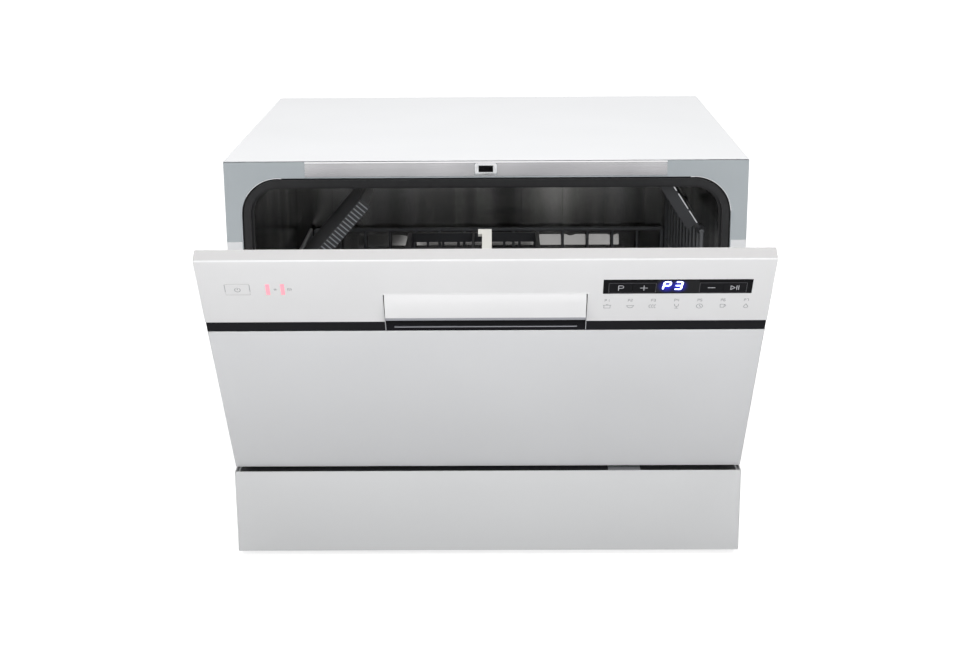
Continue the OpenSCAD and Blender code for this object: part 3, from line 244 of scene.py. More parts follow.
def softRubber(name, dark, light, rough=0.55):
    # extruded EPDM: matt, with a grey bloom
    material, tree, surface = startMaterial(name, **{
        "Roughness": rough, "IOR": 1.5, "Sheen Weight": 0.1, "Sheen Roughness": 0.4})
    feed(tree, surface, colour=twoTone(tree, grain(tree, 14), dark, light),
         roughness=spread(tree, grain(tree, 5, seed=2), rough - 0.08, rough + 0.1),
         normal=bump(tree, grain(tree, 0.9, detail=2), 0.02))
    return material


def litPlastic(name, colour, glow, strength, rough=0.25):
    # clear acrylic over a lamp: an even glow under a glossy face
    material, tree, surface = startMaterial(name, **{
        "Base Color": linear(colour), "Roughness": rough, "IOR": 1.49, "Coat Weight": 0.5,
        "Emission Color": linear(glow), "Emission Strength": strength})
    feed(tree, surface, roughness=spread(tree, grain(tree, 3, seed=2), rough - 0.05, rough + 0.05))
    return material


def glowPaintedAcrylic(name, colour, glow, strength, middles, reachMm, falloff):
    # dark acrylic with a painted glow of the figures' light, strongest at the two middles
    material, tree, surface = startMaterial(name, **{
        "Base Color": linear(colour), "Roughness": 0.3, "Specular IOR Level": 0.1,
        "Emission Color": linear(glow)})
    where = objectSpace(tree)
    away = [addNode(tree, "ShaderNodeVectorMath", {0: where, 1: middle},
                    operation="DISTANCE").outputs["Value"] for middle in middles]
    fade = spread(tree, maths(tree, "MINIMUM", *away), 1, 0, 0, reachMm * mm)
    feed(tree, surface, glow=maths(tree, "MULTIPLY", maths(tree, "POWER", fade, falloff), strength))
    return material


def printedInk(name, dark, light, rough=0.45):
    # pad-printed ink: slightly uneven cover
    material, tree, surface = startMaterial(name, **{"Roughness": rough, "IOR": 1.5})
    feed(tree, surface, colour=twoTone(tree, grain(tree, 2.5, detail=3), dark, light),
         roughness=spread(tree, grain(tree, 1.5, seed=2), rough - 0.05, rough + 0.1),
         normal=bump(tree, grain(tree, 0.7), 0.01))
    return material


def zincSheet(name, dark, light, rough=0.38, cellMm=9):
    # galvanised sheet: its spangle shows as cells of lighter and darker grey
    material, tree, surface = startMaterial(name, **{"Roughness": rough, "Metallic": 0.85})
    cells = addNode(tree, "ShaderNodeTexVoronoi", {
        "Vector": objectSpace(tree), "Scale": perMetre(cellMm)}).outputs["Distance"]
    feed(tree, surface, colour=twoTone(tree, cells, dark, light, 0.0, 0.7),
         roughness=spread(tree, cells, rough - 0.06, rough + 0.08, 0, 0.7),
         normal=bump(tree, grain(tree, 3, seed=1), 0.01))
    return material


def facingShadedPlastic(name, dark, light, rough, toward, tones):
    # console ABS: painted light and shade by facing, its flat top darker and warmer than the front as painted
    # shade, and their fold lighter as a painted highlight
    material, tree, surface = startMaterial(name, **{
        "Roughness": rough, "IOR": 1.49, "Coat Weight": 0.2, "Coat Roughness": 0.08})
    plain = twoTone(tree, grain(tree, 90, detail=1), dark, light)
    feed(tree, surface, colour=byFacing(tree, plain, toward, tones),
         roughness=spread(tree, grain(tree, 80, detail=1, seed=5), rough - 0.02, rough + 0.02),
         normal=bump(tree, grain(tree, 1.2, detail=2, seed=2), 0.004))
    return material


def chromeWithShadedPocket(name, face, pocketShade, faceY, fadeMm):
    # chromed zinc frame whose colour darkens back from the face: painted shade in its pocket
    material, tree, surface = startMaterial(name, **{"Metallic": 1.0})
    depth = addNode(tree, "ShaderNodeSeparateXYZ", {0: objectSpace(tree)}).outputs["Y"]
    feed(tree, surface, colour=twoTone(tree, depth, face, pocketShade, faceY, faceY + fadeMm * mm),
         roughness=spread(tree, grain(tree, 3, seed=2), 0.1, 0.18))
    return material


# painted light and shade of the console by how far it turns toward the door's upper edge: front, fold with a
# painted highlight, flat top with painted shade
doorUp = tuple((doorTurn.to_3x3() @ Vector((0, 0, 1))).normalized())
consoleLightAndShade = ((0.0, (0.94, 0.94, 0.94)), (0.2, (0.94, 0.94, 0.94)), (0.4, (0.99, 0.99, 0.99)),
                (0.8, (0.99, 0.99, 0.99)), (0.97, (0.59, 0.583, 0.579)))

# how each finish is made, its two colours, and what sets it apart: sizes in millimetres, faceY in metres
recipes = {
    "whiteEnamel": (sprayedEnamel, "#E8E9EB", "#ECEDEF", {"rough": 0.32}),
    "doorEnamel": (sprayedEnamel, "#E3E4E6", "#E7E8EA", {"rough": 0.30}),
    "plinthEnamel": (sprayedEnamel, "#E7E8E9", "#EBECED", {"rough": 0.34}),
    "greyEnamel": (sprayedEnamel, "#AFB6BA", "#B5BCC0", {"rough": 0.30}),
    "consoleAbs": (facingShadedPlastic, "#EEEEEF", "#F1F1F2", {
        "rough": 0.3, "toward": doorUp, "tones": consoleLightAndShade}),
    "handleAbs": (mouldedPlastic, "#EAEAEB", "#EDEDEE", {
        "rough": 0.22, "grit": 1.6, "coat": 0.4, "depth": 0.003}),
    "blackAbs": (mouldedPlastic, "#151518", "#18181C", {
        "rough": 0.3, "grit": 2.0, "depth": 0.002, "gloss": 0.05}),
    "blackAcrylic": (mouldedPlastic, "#0C0C0F", "#0F0F12", {
        "rough": 0.12, "grit": 2.0, "depth": 0.002, "gloss": 0.04}),
    "keyAcrylic": (mouldedPlastic, "#111114", "#141418", {
        "rough": 0.2, "grit": 2.0, "depth": 0.002, "gloss": 0.05}),
    "darkPp": (mouldedPlastic, "#2A2B2D", "#333437", {"rough": 0.4, "coat": 0.1, "depth": 0.02}),
    "greyPp": (mouldedPlastic, "#7C7F83", "#8A8D91", {"rough": 0.42, "depth": 0.02}),
    "palePp": (mouldedPlastic, "#DADAD6", "#E2E2DE", {"rough": 0.42, "depth": 0.02}),
    "latchPp": (mouldedPlastic, "#B9B8B3", "#C2C1BC", {"rough": 0.4, "depth": 0.01}),
    "circuitBoard": (mouldedPlastic, "#14502C", "#1B6137", {
        "rough": 0.35, "grit": 3.0, "coat": 0.3, "depth": 0.01}),
    "tubSteel": (bandedSteel, "#8F8E8D", "#E6E5E3", {}),
    "linerSteel": (brushedSteel, "#C2C3C4", "#CCCDCE", {"rough": 0.26, "line": 2.0}),
    "trimSteel": (brushedSteel, "#AFAEB1", "#CDCCCE", {
        "rough": 0.26, "stretch": (90, 1, 1), "line": 1.0, "depth": 0.0004, "swing": 0.02}),
    # the lighter, smoother steel below is a painted highlight along the trim's upper edge, the frame's corner
    # arcs and the right cup shelf's edge
    "polishedEdge": (brushedSteel, "#E6E6E8", "#EFEFF1", {
        "rough": 0.15, "stretch": (3, 3, 3), "line": 2.0, "depth": 0.0005, "swing": 0.02}),
    "ledgeSteel": (brushedSteel, "#929190", "#B0AFAD", {
        "rough": 0.14, "stretch": (3, 3, 3), "line": 8.0, "depth": 0.01, "swing": 0.03}),
    "satinLip": (brushedSteel, "#8C8D93", "#96979D", {"rough": 0.3, "line": 1.0}),
    "strikeChrome": (chromeWithShadedPocket, "#D9DADC", "#3A3A3C", {"faceY": -0.1431, "fadeMm": 3}),
    "zincSheet": (zincSheet, "#A6A9AC", "#BFC2C5", {}),
    "sealRubber": (softRubber, "#0D0D0F", "#151517", {}),
    "footRubber": (softRubber, "#2A2A2C", "#353538", {}),
    "rackWire": (drawnWire, "#5A5C5F", "#6B6D70", {}),
    "pinkLens": (litPlastic, "#F597A8", "#FF8C9A", {"strength": 0.5}),
    "figureLamp": (litPlastic, "#C9D2FF", "#B4C0FF", {"strength": 4.0}),
    "keyInk": (printedInk, "#BFC0C5", "#CFD0D5", {}),
    "greyInk": (printedInk, "#8E8F93", "#9C9DA1", {}),
    # the grey below serves the seams beside the handle, the patch on the plinth's strip and the painted
    # shadow lines beside the power button
    "seamGrey": (printedInk, "#9FA0A4", "#A8A9AD", {}),
    "frameGrey": (printedInk, "#2C2C31", "#333338", {}),
}
finishes = {name: make(name, first, second, **settings)
            for name, (make, first, second, settings) in recipes.items()}

# which finish each CAD piece takes
dressing = {
    "whiteEnamel": ["top_panel", "left_side_panel", "right_side_panel"],
    "doorEnamel": ["door_panel"],
    "plinthEnamel": ["plinth"],
    "greyEnamel": ["front_frame"],
    "zincSheet": ["back_panel", "hinge_brackets", "hinge_arms", "panel_screws"],
    "tubSteel": ["tub_wrapper", "tub_back", "tub_floor"],
    "linerSteel": ["door_liner", "filter_plate"],
    "trimSteel": ["frame_trim"],
    "strikeChrome": ["latch_strike"],
    "latchPp": ["latch_hook"],
    "satinLip": ["handle_lip"],
    "sealRubber": ["tub_gasket", "sill_seal", "cable_gland"],
    "footRubber": ["rear_feet", "front_foot_left", "front_foot_right"],
    "darkPp": ["base_tray", "circulation_pump", "cutlery_basket", "cup_shelf_left", "cup_shelf_right"],
    "greyPp": ["sump", "drain_pump", "drain_outlet", "spray_arm", "filter_cup", "front_wheels",
               "rear_wheels", "latch_body", "dispenser_lid", "rinse_cap"],
    "palePp": ["inlet_valve", "air_break", "softener_tank", "softener_cap", "dispenser_body"],
    "consoleAbs": ["console", "power_button"],
    "handleAbs": ["handle_lever"],
    "blackAbs": ["console_band"],
    "blackAcrylic": ["display_window"],
    "keyAcrylic": ["programme_key", "plus_key", "minus_key", "start_key"],
    "circuitBoard": ["control_board"],
    "pinkLens": ["indicator_lenses"],
    "rackWire": ["rack_floor", "rack_walls", "rack_tines", "folding_tines"],
}

# edge radius in millimetres of the pieces whose edges catch the light
edgeRadius = {
    "top_panel": 0.9, "left_side_panel": 0.4, "right_side_panel": 0.4, "back_panel": 0.3, "base_tray": 0.8,
    "plinth": 0.5, "front_frame": 0.35, "frame_trim": 0.25, "latch_strike": 0.25, "door_panel": 0.5,
    "console": 0.9, "console_band": 0.3, "door_liner": 0.4, "dispenser_body": 0.6, "handle_lever": 0.6,
    "handle_lip": 0.3, "power_button": 0.5, "programme_key": 0.2, "plus_key": 0.2, "minus_key": 0.2,
    "start_key": 0.2, "display_window": 0.2, "dispenser_lid": 0.5, "cutlery_basket": 0.3,
    "cup_shelf_left": 0.4, "cup_shelf_right": 0.4, "spray_arm": 0.9, "latch_hook": 0.4, "latch_body": 0.3,
    "circulation_pump": 0.8, "drain_pump": 0.6, "air_break": 1.2, "softener_tank": 1.5, "tub_back": 0.35,
}

# close vertices are welded, then the folds sharper than this angle rounded
edgeSettings = {"weldMm": 0.02, "segments": 2, "fromDeg": 35, "weight": 100}


def softenEdges(piece, radiusMm):
    weld = piece.modifiers.new("weld", "WELD")
    weld.merge_threshold = edgeSettings["weldMm"] * mm
    bevel = piece.modifiers.new("edges", "BEVEL")
    bevel.width = radiusMm * mm
    bevel.segments = edgeSettings["segments"]
    bevel.limit_method = "ANGLE"
    bevel.angle_limit = math.radians(edgeSettings["fromDeg"])
    even = piece.modifiers.new("even", "WEIGHTED_NORMAL")
    even.weight = edgeSettings["weight"]


for finish, names in dressing.items():
    for name in names:
        piece = nodes[name]
        piece.data.materials.clear()
        piece.data.materials.append(finishes[finish])
        for face in piece.data.polygons:
            face.use_smooth = True
        if name in edgeRadius:
            softenEdges(piece, edgeRadius[name])
print("finishes given, left over:", sorted(set(nodes) - {n for names in dressing.values() for n in names}))


# mesh helpers: they and the settings of the pieces below work in millimetres
def makePiece(name, build, finish, body, turn=Matrix.Identity(4)):
    mesh = bpy.data.meshes.new(name)
    work = bmesh.new()
    build(work)
    bmesh.ops.recalc_face_normals(work, faces=work.faces)
    work.to_mesh(mesh)
    work.free()
    mesh.transform(turn)
    mesh.materials.append(finishes[finish])
    piece = bpy.data.objects.new(name, mesh)
    bpy.context.scene.collection.objects.link(piece)
    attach(piece, body)


def addRings(work, rings):
    # joins rings of points in millimetres, each to the next, and closes both ends
    made = [[work.verts.new(Vector(p) * mm) for p in ring] for ring in rings]
    for ring in (made[0], made[-1]):
        work.faces.new(ring)
    for here, there in zip(made, made[1:]):
        for i in range(len(here)):
            j = (i + 1) % len(here)
            work.faces.new((here[i], here[j], there[j], there[i]))


def addPlate(work, outline, low, high):
    # an outline in (x, h), solid between two depths
    addRings(work, [[(x, low, h) for x, h in outline], [(x, high, h) for x, h in outline]])


def addBar(work, section, x0, x1):
    # a section in (depth, height), drawn out across from x0 to x1
    addRings(work, [[(x, *p) for p in section] for x in (x0, x1)])


def rectangle(x0, h0, x1, h1):
    return [(x0, h0), (x1, h0), (x1, h1), (x0, h1)]


def strokeOutline(a, b, width):
    # a short bar between two points whose ends are half hexagons
    a, b = Vector(a), Vector(b)
    along = (b - a).normalized() * width / 2
    side = Vector((-along.y, along.x))
    tip, beside = along * 0.87, side * 0.5
    return [tuple(p) for p in (a - side, b - side, b - beside + tip, b + beside + tip,
                               b + side, a + side, a + beside - tip, a - beside - tip)]


def addPath(work, points, width, low, high):
    for a, b in zip(points, points[1:]):
        addPlate(work, strokeOutline(a, b, width), low, high)


def arcPoints(cx, cy, radius, start, end, steps):
    return [(cx + radius * math.cos(math.radians(start + (end - start) * i / steps)),
             cy + radius * math.sin(math.radians(start + (end - start) * i / steps)))
            for i in range(steps + 1)]


def addTube(work, points, radius, sides=8):
    # a round bar through points in millimetres
    points = [Vector(p) for p in points]
    rings = []
    for i, point in enumerate(points):
        along = (points[min(i + 1, len(points) - 1)] - points[max(i - 1, 0)]).normalized()
        side = along.cross(Vector((0, 1, 0))).normalized()
        over = side.cross(along)
        rings.append([point + radius * (math.cos(t) * side + math.sin(t) * over)
                      for t in (2 * math.pi * k / sides for k in range(sides))])
    addRings(work, rings)


# millimetres by which a sign's back and a trim piece's back reach into what carries them
signRoot, trimRoot = 0.05, 0.1


def signDepths(face, proud):
    return face - proud, face + signRoot


# signs on the four keys, drawn round each key's middle
keySigns = {"size": 6.6, "stroke": 0.7, "proud": 0.1}


def letterP(x, h, s):
    bowl = arcPoints(x + s * 0.12, h + s * 0.22, s * 0.28, 90, -90, 8)
    return [[(x - s * 0.33, h - s / 2), (x - s * 0.33, h + s / 2)] + bowl + [(x - s * 0.33, h - s * 0.06)]]


def plusSign(x, h, s):
    return [[(x - s / 2, h), (x + s / 2, h)], [(x, h - s / 2), (x, h + s / 2)]]


def minusSign(x, h, s):
    return [[(x - s / 2, h), (x + s / 2, h)]]


def playPause(x, h, s):
    back, low, high = x - s * 0.55, h - s * 0.42, h + s * 0.42
    return [[(back, low), (back, high), (x + s * 0.05, h), (back, low)],
            [(x + s * 0.3, low), (x + s * 0.3, high)],
            [(x + s * 0.58, low), (x + s * 0.58, high)]]


def signKey(name, sign):
    low, high = doorBox(name)
    middle = (low + high) / 2

    def build(work):
        for path in sign(middle.x, middle.z, keySigns["size"]):
            addPath(work, path, keySigns["stroke"], *signDepths(low.y, keySigns["proud"]))
    makePiece(name + "_sign", build, "keyInk", name, doorTurn)


for name, sign in {"programme_key": letterP, "plus_key": plusSign, "minus_key": minusSign,
                   "start_key": playPause}.items():
    signKey(name, sign)

# thin moulded frame round each pair of keys
keyFrame = {"line": 0.55, "gap": 0.5, "proud": 0.12}


def keyFrames(work):
    depths = signDepths(doorBox("display_window")[0].y, keyFrame["proud"])
    gap = keyFrame["gap"]
    for left, right in (("programme_key", "plus_key"), ("minus_key", "start_key")):
        low, high = doorBox(left)
        x0, x1, h0, h1 = low.x - gap, doorBox(right)[1].x + gap, low.z - gap, high.z + gap
        addPath(work, [(x0, h0), (x0, h1), (x1, h1), (x1, h0), (x0, h0)], keyFrame["line"], *depths)


makePiece("key_frames", keyFrames, "frameGrey", "door", doorTurn)
print("keys marked")

# seven-segment strokes of each figure, as (from, to) in a 2 by 4 grid
segmentPlaces = {
    "a": ((0, 4), (2, 4)), "b": ((2, 4), (2, 2)), "c": ((2, 2), (2, 0)), "d": ((0, 0), (2, 0)),
    "e": ((0, 2), (0, 0)), "f": ((0, 4), (0, 2)), "g": ((0, 2), (2, 2)),
}
figureSegments = {"1": "bc", "2": "abged", "3": "abgcd", "4": "fgbc", "5": "afgcd", "6": "afgedc",
                  "7": "abc", "P": "abfge"}


def addFigure(work, figure, corner, size, stroke, depths, slant=0.0, gap=0.0):
    for segment in figureSegments[figure]:
        ends = [Vector((gx / 2 * size[0], gy / 4 * size[1])) for gx, gy in segmentPlaces[segment]]
        along = (ends[1] - ends[0]).normalized() * gap
        ends = [ends[0] + along, ends[1] - along]
        start, end = [(corner[0] + p.x + slant * p.y, corner[1] + p.y) for p in ends]
        addPlate(work, strokeOutline(start, end, stroke), *depths)


# lit figures in the display window
display = {"figures": "P3", "x": 169.2, "fromTop": 41.4, "pitch": 11.2, "size": (6.0, 10.0), "stroke": 1.8,
           "slant": 0.14, "gap": 0.8, "proud": 0.12}


def figureCorner(i):
    return display["x"] + i * display["pitch"], doorTop - display["fromTop"]


def displayFigures(work):
    depths = signDepths(doorBox("display_window")[0].y, display["proud"])
    for i, figure in enumerate(display["figures"]):
        addFigure(work, figure, figureCorner(i), display["size"], display["stroke"], depths,
                  display["slant"], display["gap"])


makePiece("display_figures", displayFigures, "figureLamp", "door", doorTurn)

# painted glow of the figures' light in the acrylic around them, centred at a share of their height
halo = {"dark": "#111114", "light": "#2B2BFF", "strength": 1.1, "reach": 11, "falloff": 2.2, "centre": 0.42,
        "beside": 1.2, "inset": 0.8, "proud": 0.06, "root": 0.03}


def haloMiddle(i):
    x, h = figureCorner(i)
    width, height = display["size"]
    middle = Vector((x + width / 2 + display["slant"] * height / 2, doorBox("display_window")[0].y,
                     h + height * halo["centre"]))
    return doorTurn @ (middle * mm)


def displayHalo(work):
    low, high = doorBox("display_window")
    x0, x1 = doorBox("plus_key")[1].x + halo["beside"], doorBox("minus_key")[0].x - halo["beside"]
    addPlate(work, rectangle(x0, low.z + halo["inset"], x1, high.z - halo["inset"]),
             low.y - halo["proud"], low.y + halo["root"])


finishes["glowPaintedAcrylic"] = glowPaintedAcrylic(
    "glowPaintedAcrylic", halo["dark"], halo["light"], halo["strength"],
    [haloMiddle(i) for i in range(len(display["figures"]))], halo["reach"], halo["falloff"])
makePiece("display_halo", displayHalo, "glowPaintedAcrylic", "door", doorTurn)
print("display lit")

# programme numbers and generic pictures below the window; the pictures as strokes round their middle
programmes = {"firstX": 117.3, "pitch": 22.28, "numberFromTop": 59.0, "pictureFromTop": 66.0, "line": 0.5,
              "proud": 0.08, "letterX": -2.3, "digitX": 0.2, "figureSize": (1.5, 3.2), "figureLine": 0.4}


def panPicture(x, h):
    return [[(x - 3, h + 1.6), (x - 3, h - 2.4), (x + 3, h - 2.4), (x + 3, h + 1.6)],
            [(x - 3.8, h + 1.6), (x + 3.8, h + 1.6)], [(x - 1, h + 2.8), (x + 1, h + 2.8)]]


def bowlPicture(x, h):
    return [arcPoints(x, h + 1, 3.2, 180, 360, 8), [(x - 3.6, h + 1), (x + 3.6, h + 1)]]


def platesPicture(x, h):
    return [arcPoints(x + step, h, 2.4, 110, 250, 6) for step in (-1.8, 0.6, 3.0)]


def glassPicture(x, h):
    return [[(x - 2, h + 3), (x - 1.6, h + 0.2), (x, h - 0.6), (x + 1.6, h + 0.2), (x + 2, h + 3)],
            [(x, h - 0.6), (x, h - 3)], [(x - 1.6, h - 3), (x + 1.6, h - 3)]]


def clockPicture(x, h):
    return [arcPoints(x, h, 3, 0, 360, 14), [(x, h + 1.8), (x, h), (x + 1.4, h - 0.9)]]


def cupPicture(x, h):
    return [[(x - 2.6, h + 2.4), (x - 2.2, h - 2), (x + 1.2, h - 2), (x + 1.6, h + 2.4), (x - 2.6, h + 2.4)],
            arcPoints(x + 1.7, h + 0.6, 1.3, 80, -80, 5)]


def dropPicture(x, h):
    return [[(x - 1.7, h), (x, h + 3), (x + 1.7, h)], arcPoints(x, h - 0.8, 2, 155, 385, 8)]


def programmeMarks(work):
    depths = signDepths(0, programmes["proud"])
    pictures = (panPicture, bowlPicture, platesPicture, glassPicture, clockPicture, cupPicture, dropPicture)
    for i, picture in enumerate(pictures):
        x = programmes["firstX"] + i * programmes["pitch"]
        for figure, aside in (("P", programmes["letterX"]), (str(i + 1), programmes["digitX"])):
            addFigure(work, figure, (x + aside, doorTop - programmes["numberFromTop"]),
                      programmes["figureSize"], programmes["figureLine"], depths)
        for path in picture(x, doorTop - programmes["pictureFromTop"]):
            addPath(work, path, programmes["line"], *depths)


makePiece("programme_marks", programmeMarks, "greyInk", "door", doorTurn)

# power sign on its button, and the button's shadow lines at both sides
power = {"radius": 2.7, "stroke": 0.55, "proud": 0.08, "down": 0.5, "fromDeg": 125, "toDeg": 415, "steps": 16,
         "barOut": 0.4, "barIn": 0.3, "sideLine": 0.6, "gap": 0.35, "fromTop": 0.5, "fromFoot": 4.5}


def powerSign(work):
    low, high = doorBox("power_button")
    x, h = (low.x + high.x) / 2, (low.z + high.z) / 2 - power["down"]
    ring = arcPoints(x, h, power["radius"], power["fromDeg"], power["toDeg"], power["steps"])
    bar = [(x, h + power["radius"] + power["barOut"]), (x, h + power["barIn"])]
    for path in (ring, bar):
        addPath(work, path, power["stroke"], *signDepths(low.y, power["proud"]))


def powerLines(work):
    low, high = doorBox("power_button")
    for x in (low.x - power["gap"], high.x + power["gap"]):
        addPath(work, [(x, high.z - power["fromTop"]), (x, low.z + power["fromFoot"])], power["sideLine"],
                *signDepths(0, power["proud"]))


makePiece("power_sign", powerSign, "greyInk", "power_button", doorTurn)
makePiece("power_lines", powerLines, "seamGrey", "door", doorTurn)

# a star and a shower beside the two refill lenses
refill = {"line": 0.4, "proud": 0.08, "lensRadius": 1.8, "starAfter": 7.1, "starRadius": 1.7,
          "showerAfter": 20.5}


def starPicture(x, h):
    spokes = [Vector((math.cos(t), math.sin(t))) * refill["starRadius"]
              for t in (math.radians(60 * i) for i in range(3))]
    return [[(x - spoke.x, h - spoke.y), (x + spoke.x, h + spoke.y)] for spoke in spokes]


def showerPicture(x, h):
    head = [(x - 1.2, h + 1.6), (x + 1.8, h + 1.6), (x + 2.4, h - 0.2), (x - 1.8, h - 0.2),
            (x - 1.2, h + 1.6)]
    return [head] + [[(x + step, h - 0.9), (x + step - 0.3, h - 1.9)] for step in (-1.2, 0.3, 1.8)]


def refillMarks(work):
    low, high = doorBox("indicator_lenses")
    lens, h = low.x + refill["lensRadius"], (low.z + high.z) / 2
    for path in starPicture(lens + refill["starAfter"], h) + showerPicture(lens + refill["showerAfter"], h):
        addPath(work, path, refill["line"], *signDepths(0, refill["proud"]))


makePiece("refill_marks", refillMarks, "greyInk", "door", doorTurn)
print("signs made")

# bright line in the scoop behind the handle
scoop = {"half": 89.5, "fromTop": 98.0, "depth": 2.7, "thick": 1.4, "proud": 0.2, "back": 2.4, "rise": 1}


def scoopLine(work):
    h, half = doorTop - scoop["fromTop"], scoop["thick"] / 2
    front, back = scoop["depth"] - scoop["proud"], scoop["depth"] + scoop["back"]
    section = ((front, h - half), (front, h + half), (back, h + half + scoop["rise"]), (back, h - half))
    addBar(work, section, -scoop["half"], scoop["half"])


# thin seams beside the handle, between the band's lower edge and the lip's upper one
seams = {"inset": 2.8, "wide": 0.8, "fromBand": 0.3, "fromLip": 1, "proud": 0.4}


def handleSeams(work):
    low, high = doorBox("handle_lever")
    band, half = doorBox("console_band")[0], seams["wide"] / 2
    h0, h1 = band.z + seams["fromBand"], doorBox("handle_lip")[1].z - seams["fromLip"]
    for x in (low.x + seams["inset"], high.x - seams["inset"]):
        addPlate(work, rectangle(x - half, h0, x + half, h1), band.y - seams["proud"], band.y + trimRoot)


# rounded bead of the console over the handle's upper edge, its section in (depth, height)
cover = {"fromTop": 48.0, "inset": 1.6,
         "section": ((-0.06, 0.15), (-0.35, 0.15), (-0.4, 0.6), (-0.02, 2.0), (0.05, 2.0), (0.05, 1.25),
                     (-0.06, 1.25))}


def handleCover(work):
    low, high = doorBox("handle_lever")
    foot = doorTop - cover["fromTop"]
    section = [(n, foot + h) for n, h in cover["section"]]
    addBar(work, section, low.x + cover["inset"], high.x - cover["inset"])


makePiece("handle_cover", handleCover, "handleAbs", "door", doorTurn)
makePiece("scoop_line", scoopLine, "satinLip", "door", doorTurn)
makePiece("handle_seams", handleSeams, "seamGrey", "door", doorTurn)

# rolled edge of the frame at the opening's upper corners, in lighter steel as a painted highlight, drawn only
# along the arcs where it shines: which side, from and to in degrees
opening = {"half": 257.5, "top": 419.5, "radius": 39, "bead": 0.6, "steps": 14,
           "arcs": ((1, 96, 4), (-1, 84, 150))}


def openingBead(work):
    y, r = boxOf("front_frame")[0].y + trimRoot, opening["radius"]
    for side, start, end in opening["arcs"]:
        corner = arcPoints(side * (opening["half"] - r), opening["top"] - r, r, start, end, opening["steps"])
        addTube(work, [(x, y, z) for x, z in corner], opening["bead"])


# upper edge of the trim in lighter steel, a painted highlight; its section in (depth, height) from the trim's
# upper front edge
trimSection = ((trimRoot, 0), (-0.3, -0.3), (-0.3, -1.5), (trimRoot, -1.9))


def trimEdge(work):
    low, high = boxOf("frame_trim")
    addBar(work, [(low.y + n, high.z + h) for n, h in trimSection], low.x, high.x)


makePiece("opening_bead", openingBead, "polishedEdge", "cabinet")
makePiece("trim_edge", trimEdge, "polishedEdge", "cabinet")

# pressed ledge in the tub's back wall behind its ribs, tilted so that it catches the light
ledge = {"half": 172, "low": 249, "high": 263, "lean": 3.6, "foot": 1, "ribs": 4}


def tubLedge(work):
    wall = boxOf("tub_back")[0].y + ledge["ribs"]
    section = ((wall + trimRoot, ledge["high"]), (wall - ledge["lean"], ledge["low"]),
               (wall + trimRoot, ledge["low"] - ledge["foot"]))
    addBar(work, section, -ledge["half"], ledge["half"])


makePiece("tub_ledge", tubLedge, "ledgeSteel", "cabinet")

# comb of ribs on the left cup shelf's front edge, their lighter grey partly a painted highlight of its
# perforated edge, and a painted highlight along the right one's edge, in three lengths
shelf = {"pivotX": 233.5, "y": -93.1, "proud": 0.4}
leftShelf = {"z": 273, "leanDeg": 49, "reach": 150, "first": 12.0, "margin": 3, "pitch": 4.6, "rib": 1.3,
             "foot": -11.5, "head": 1.0}
rightShelf = {"z": 350, "leanDeg": 57, "reach": 66, "foot": 0.2, "head": 1.5,
              "shares": ((0.16, 0.4), (0.44, 0.74), (0.8, 0.98))}


def shelfTurn(side, own):
    return (Matrix.Translation(Vector((side * shelf["pivotX"], shelf["y"], own["z"])) * mm)
            @ Matrix.Rotation(math.radians(side * own["leanDeg"]), 4, "Y"))


def addShelfPlate(work, own, x0, x1):
    addPlate(work, rectangle(x0, own["foot"], x1, own["head"]), -shelf["proud"], trimRoot)


def shelfRibs(work):
    x = leftShelf["first"]
    while x < leftShelf["reach"] - leftShelf["margin"]:
        addShelfPlate(work, leftShelf, x, x + leftShelf["rib"])
        x += leftShelf["pitch"]


def shelfEdge(work):
    for start, end in rightShelf["shares"]:
        addShelfPlate(work, rightShelf, -end * rightShelf["reach"], -start * rightShelf["reach"])


makePiece("shelf_ribs", shelfRibs, "greyPp", "cup_shelf_left", shelfTurn(-1, leftShelf))
makePiece("shelf_edge", shelfEdge, "polishedEdge", "cup_shelf_right",
          shelfTurn(1, rightShelf))

# bare pale patch on the dark strip that is sunk into the plinth's top
patch = {"x": (131, 166), "y": (3, 20), "thick": 0.35, "stripDown": 0.5}


def stripPatch(work):
    low, high = boxOf("plinth")
    strip = high.z - patch["stripDown"]
    (x0, x1), (y0, y1) = patch["x"], patch["y"]
    corners = rectangle(x0, low.y + y0, x1, low.y + y1)
    addRings(work, [[(x, y, z) for x, y in corners] for z in (strip - trimRoot, strip + patch["thick"])])


makePiece("strip_patch", stripPatch, "seamGrey", "cabinet")

# crossed slots in the heads of the back panel's screws, drawn as thin dark plates on the heads: painted shade
# of the slots
screwSlot = {"long": 4.2, "wide": 0.8, "proud": 0.06, "headRadius": 3.6, "innerX": 90}


def screwSlots(work):
    low, high = boxOf("panel_screws")
    y, r, inner = high.y, screwSlot["headRadius"], screwSlot["innerX"]
    for x in (low.x + r, -inner, inner, high.x - r):
        for z in (low.z + r, high.z - r):
            for direction in ((1, 0), (0, 1)):
                a = Vector(direction) * screwSlot["long"] / 2
                slot = strokeOutline((x - a.x, z - a.y), (x + a.x, z + a.y), screwSlot["wide"])
                addPlate(work, slot, y - trimRoot, y + screwSlot["proud"])


makePiece("screw_slots", screwSlots, "sealRubber", "cabinet")
print("trim made")

# pale floor that shines to the camera and in reflections alone, more so further away; in metres
floorSettings = {"size": 24.0, "rough": 0.6, "gloss": 0.2,
                 "dark": "#CACACA", "light": "#F0F0F0", "darkTo": 0.4, "lightFrom": 1.4,
                 "near": 0.55, "far": 2.6, "nearShow": 0.8, "farShow": 1.0}


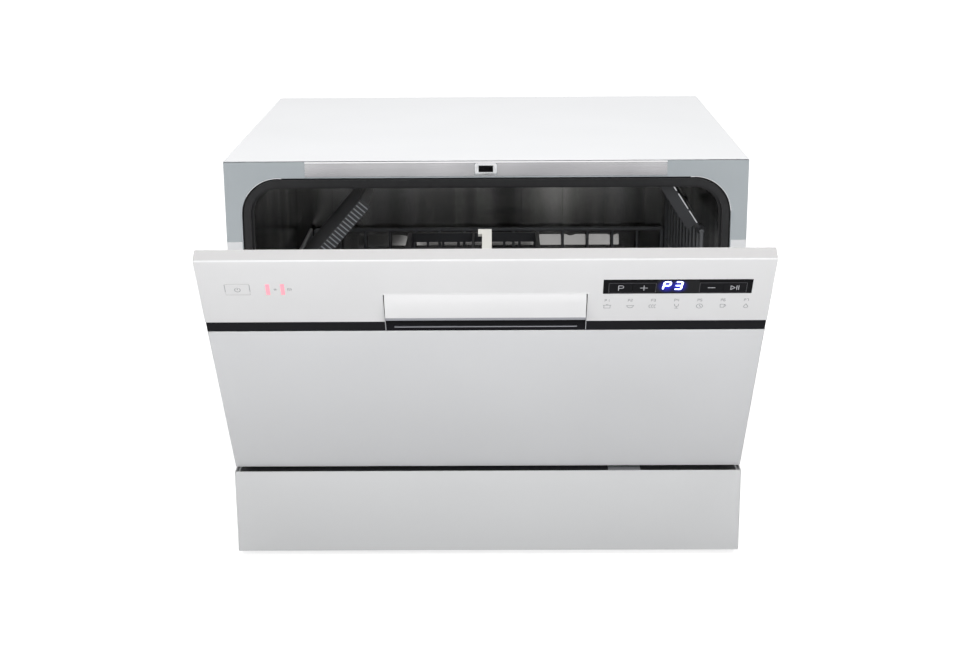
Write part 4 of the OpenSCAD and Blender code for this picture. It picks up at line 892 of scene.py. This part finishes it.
def makeFloor(settings):
    half = settings["size"] / 2
    mesh = bpy.data.meshes.new("floor")
    mesh.from_pydata([(x, y, 0) for x, y in rectangle(-half, -half, half, half)], [], [(0, 1, 2, 3)])
    floor = bpy.data.objects.new("floor", mesh)
    bpy.context.scene.collection.objects.link(floor)
    material, tree, surface = startMaterial("paleFloor", **{
        "Roughness": settings["rough"], "Specular IOR Level": settings["gloss"],
        "Emission Color": (1, 1, 1, 1)})
    seen = onRays(tree, "Is Camera Ray", "Is Glossy Ray")
    away = addNode(tree, "ShaderNodeVectorMath", {0: objectSpace(tree)}, operation="LENGTH").outputs["Value"]
    show = spread(tree, away, settings["nearShow"], settings["farShow"], settings["near"], settings["far"])
    # the floor's colour runs darker near the object: painted shade of the floor round the machine, which dims
    # its bounce onto the door's lower part and the plinth
    tone = twoTone(tree, away, settings["dark"], settings["light"], settings["darkTo"], settings["lightFrom"])
    feed(tree, surface, colour=tone, glow=maths(tree, "MULTIPLY", seen, show))
    mesh.materials.append(material)


# the room: white where it is seen, mirrored or looked at through glass, and without light of its own
worldSettings = {"light": 0.0, "seen": 1.0}


def makeWorld(settings):
    world = bpy.data.worlds.new("whiteRoom")
    bpy.context.scene.world = world
    world.use_nodes = True
    tree = world.node_tree
    tree.nodes.clear()
    seen = onRays(tree, "Is Camera Ray", "Is Glossy Ray", "Is Transmission Ray")
    level = addNode(tree, "ShaderNodeMapRange", {
        "Value": seen, "To Min": settings["light"], "To Max": settings["seen"]}).outputs[0]
    sky = addNode(tree, "ShaderNodeBackground", {"Color": (1, 1, 1, 1), "Strength": level})
    out = addNode(tree, "ShaderNodeOutputWorld")
    tree.links.new(sky.outputs[0], out.inputs[0])


# soft boxes: place and aim in metres, width and height in metres, power in watts
softboxes = {
    "overhead": {"place": (0, -0.05, 2.3), "aim": (0, -0.05, 0.3), "size": (2.4, 1.8), "watts": 43},
    "front": {"place": (0, -1.9, 1.3), "aim": (0, -0.15, 0.25), "size": (2.4, 0.6), "watts": 8.6},
    "near": {"place": (0, -0.9, 0.6), "aim": (0, -0.33, 0.36), "size": (1.3, 0.15), "watts": 4.0},
}


def addSoftbox(name, settings):
    data = bpy.data.lights.new(name, "AREA")
    data.shape = "RECTANGLE"
    data.size, data.size_y = settings["size"]
    data.energy = settings["watts"]
    light = bpy.data.objects.new(name, data)
    bpy.context.scene.collection.objects.link(light)
    light.location = settings["place"]
    light.rotation_euler = (Vector(settings["aim"]) - light.location).to_track_quat("-Z", "Y").to_euler()
    light.visible_camera = False
    light.visible_glossy = False


makeFloor(floorSettings)
makeWorld(worldSettings)
for name, settings in softboxes.items():
    addSoftbox(name, settings)
bpy.context.scene.view_settings.view_transform = "Standard"
print("stage made")
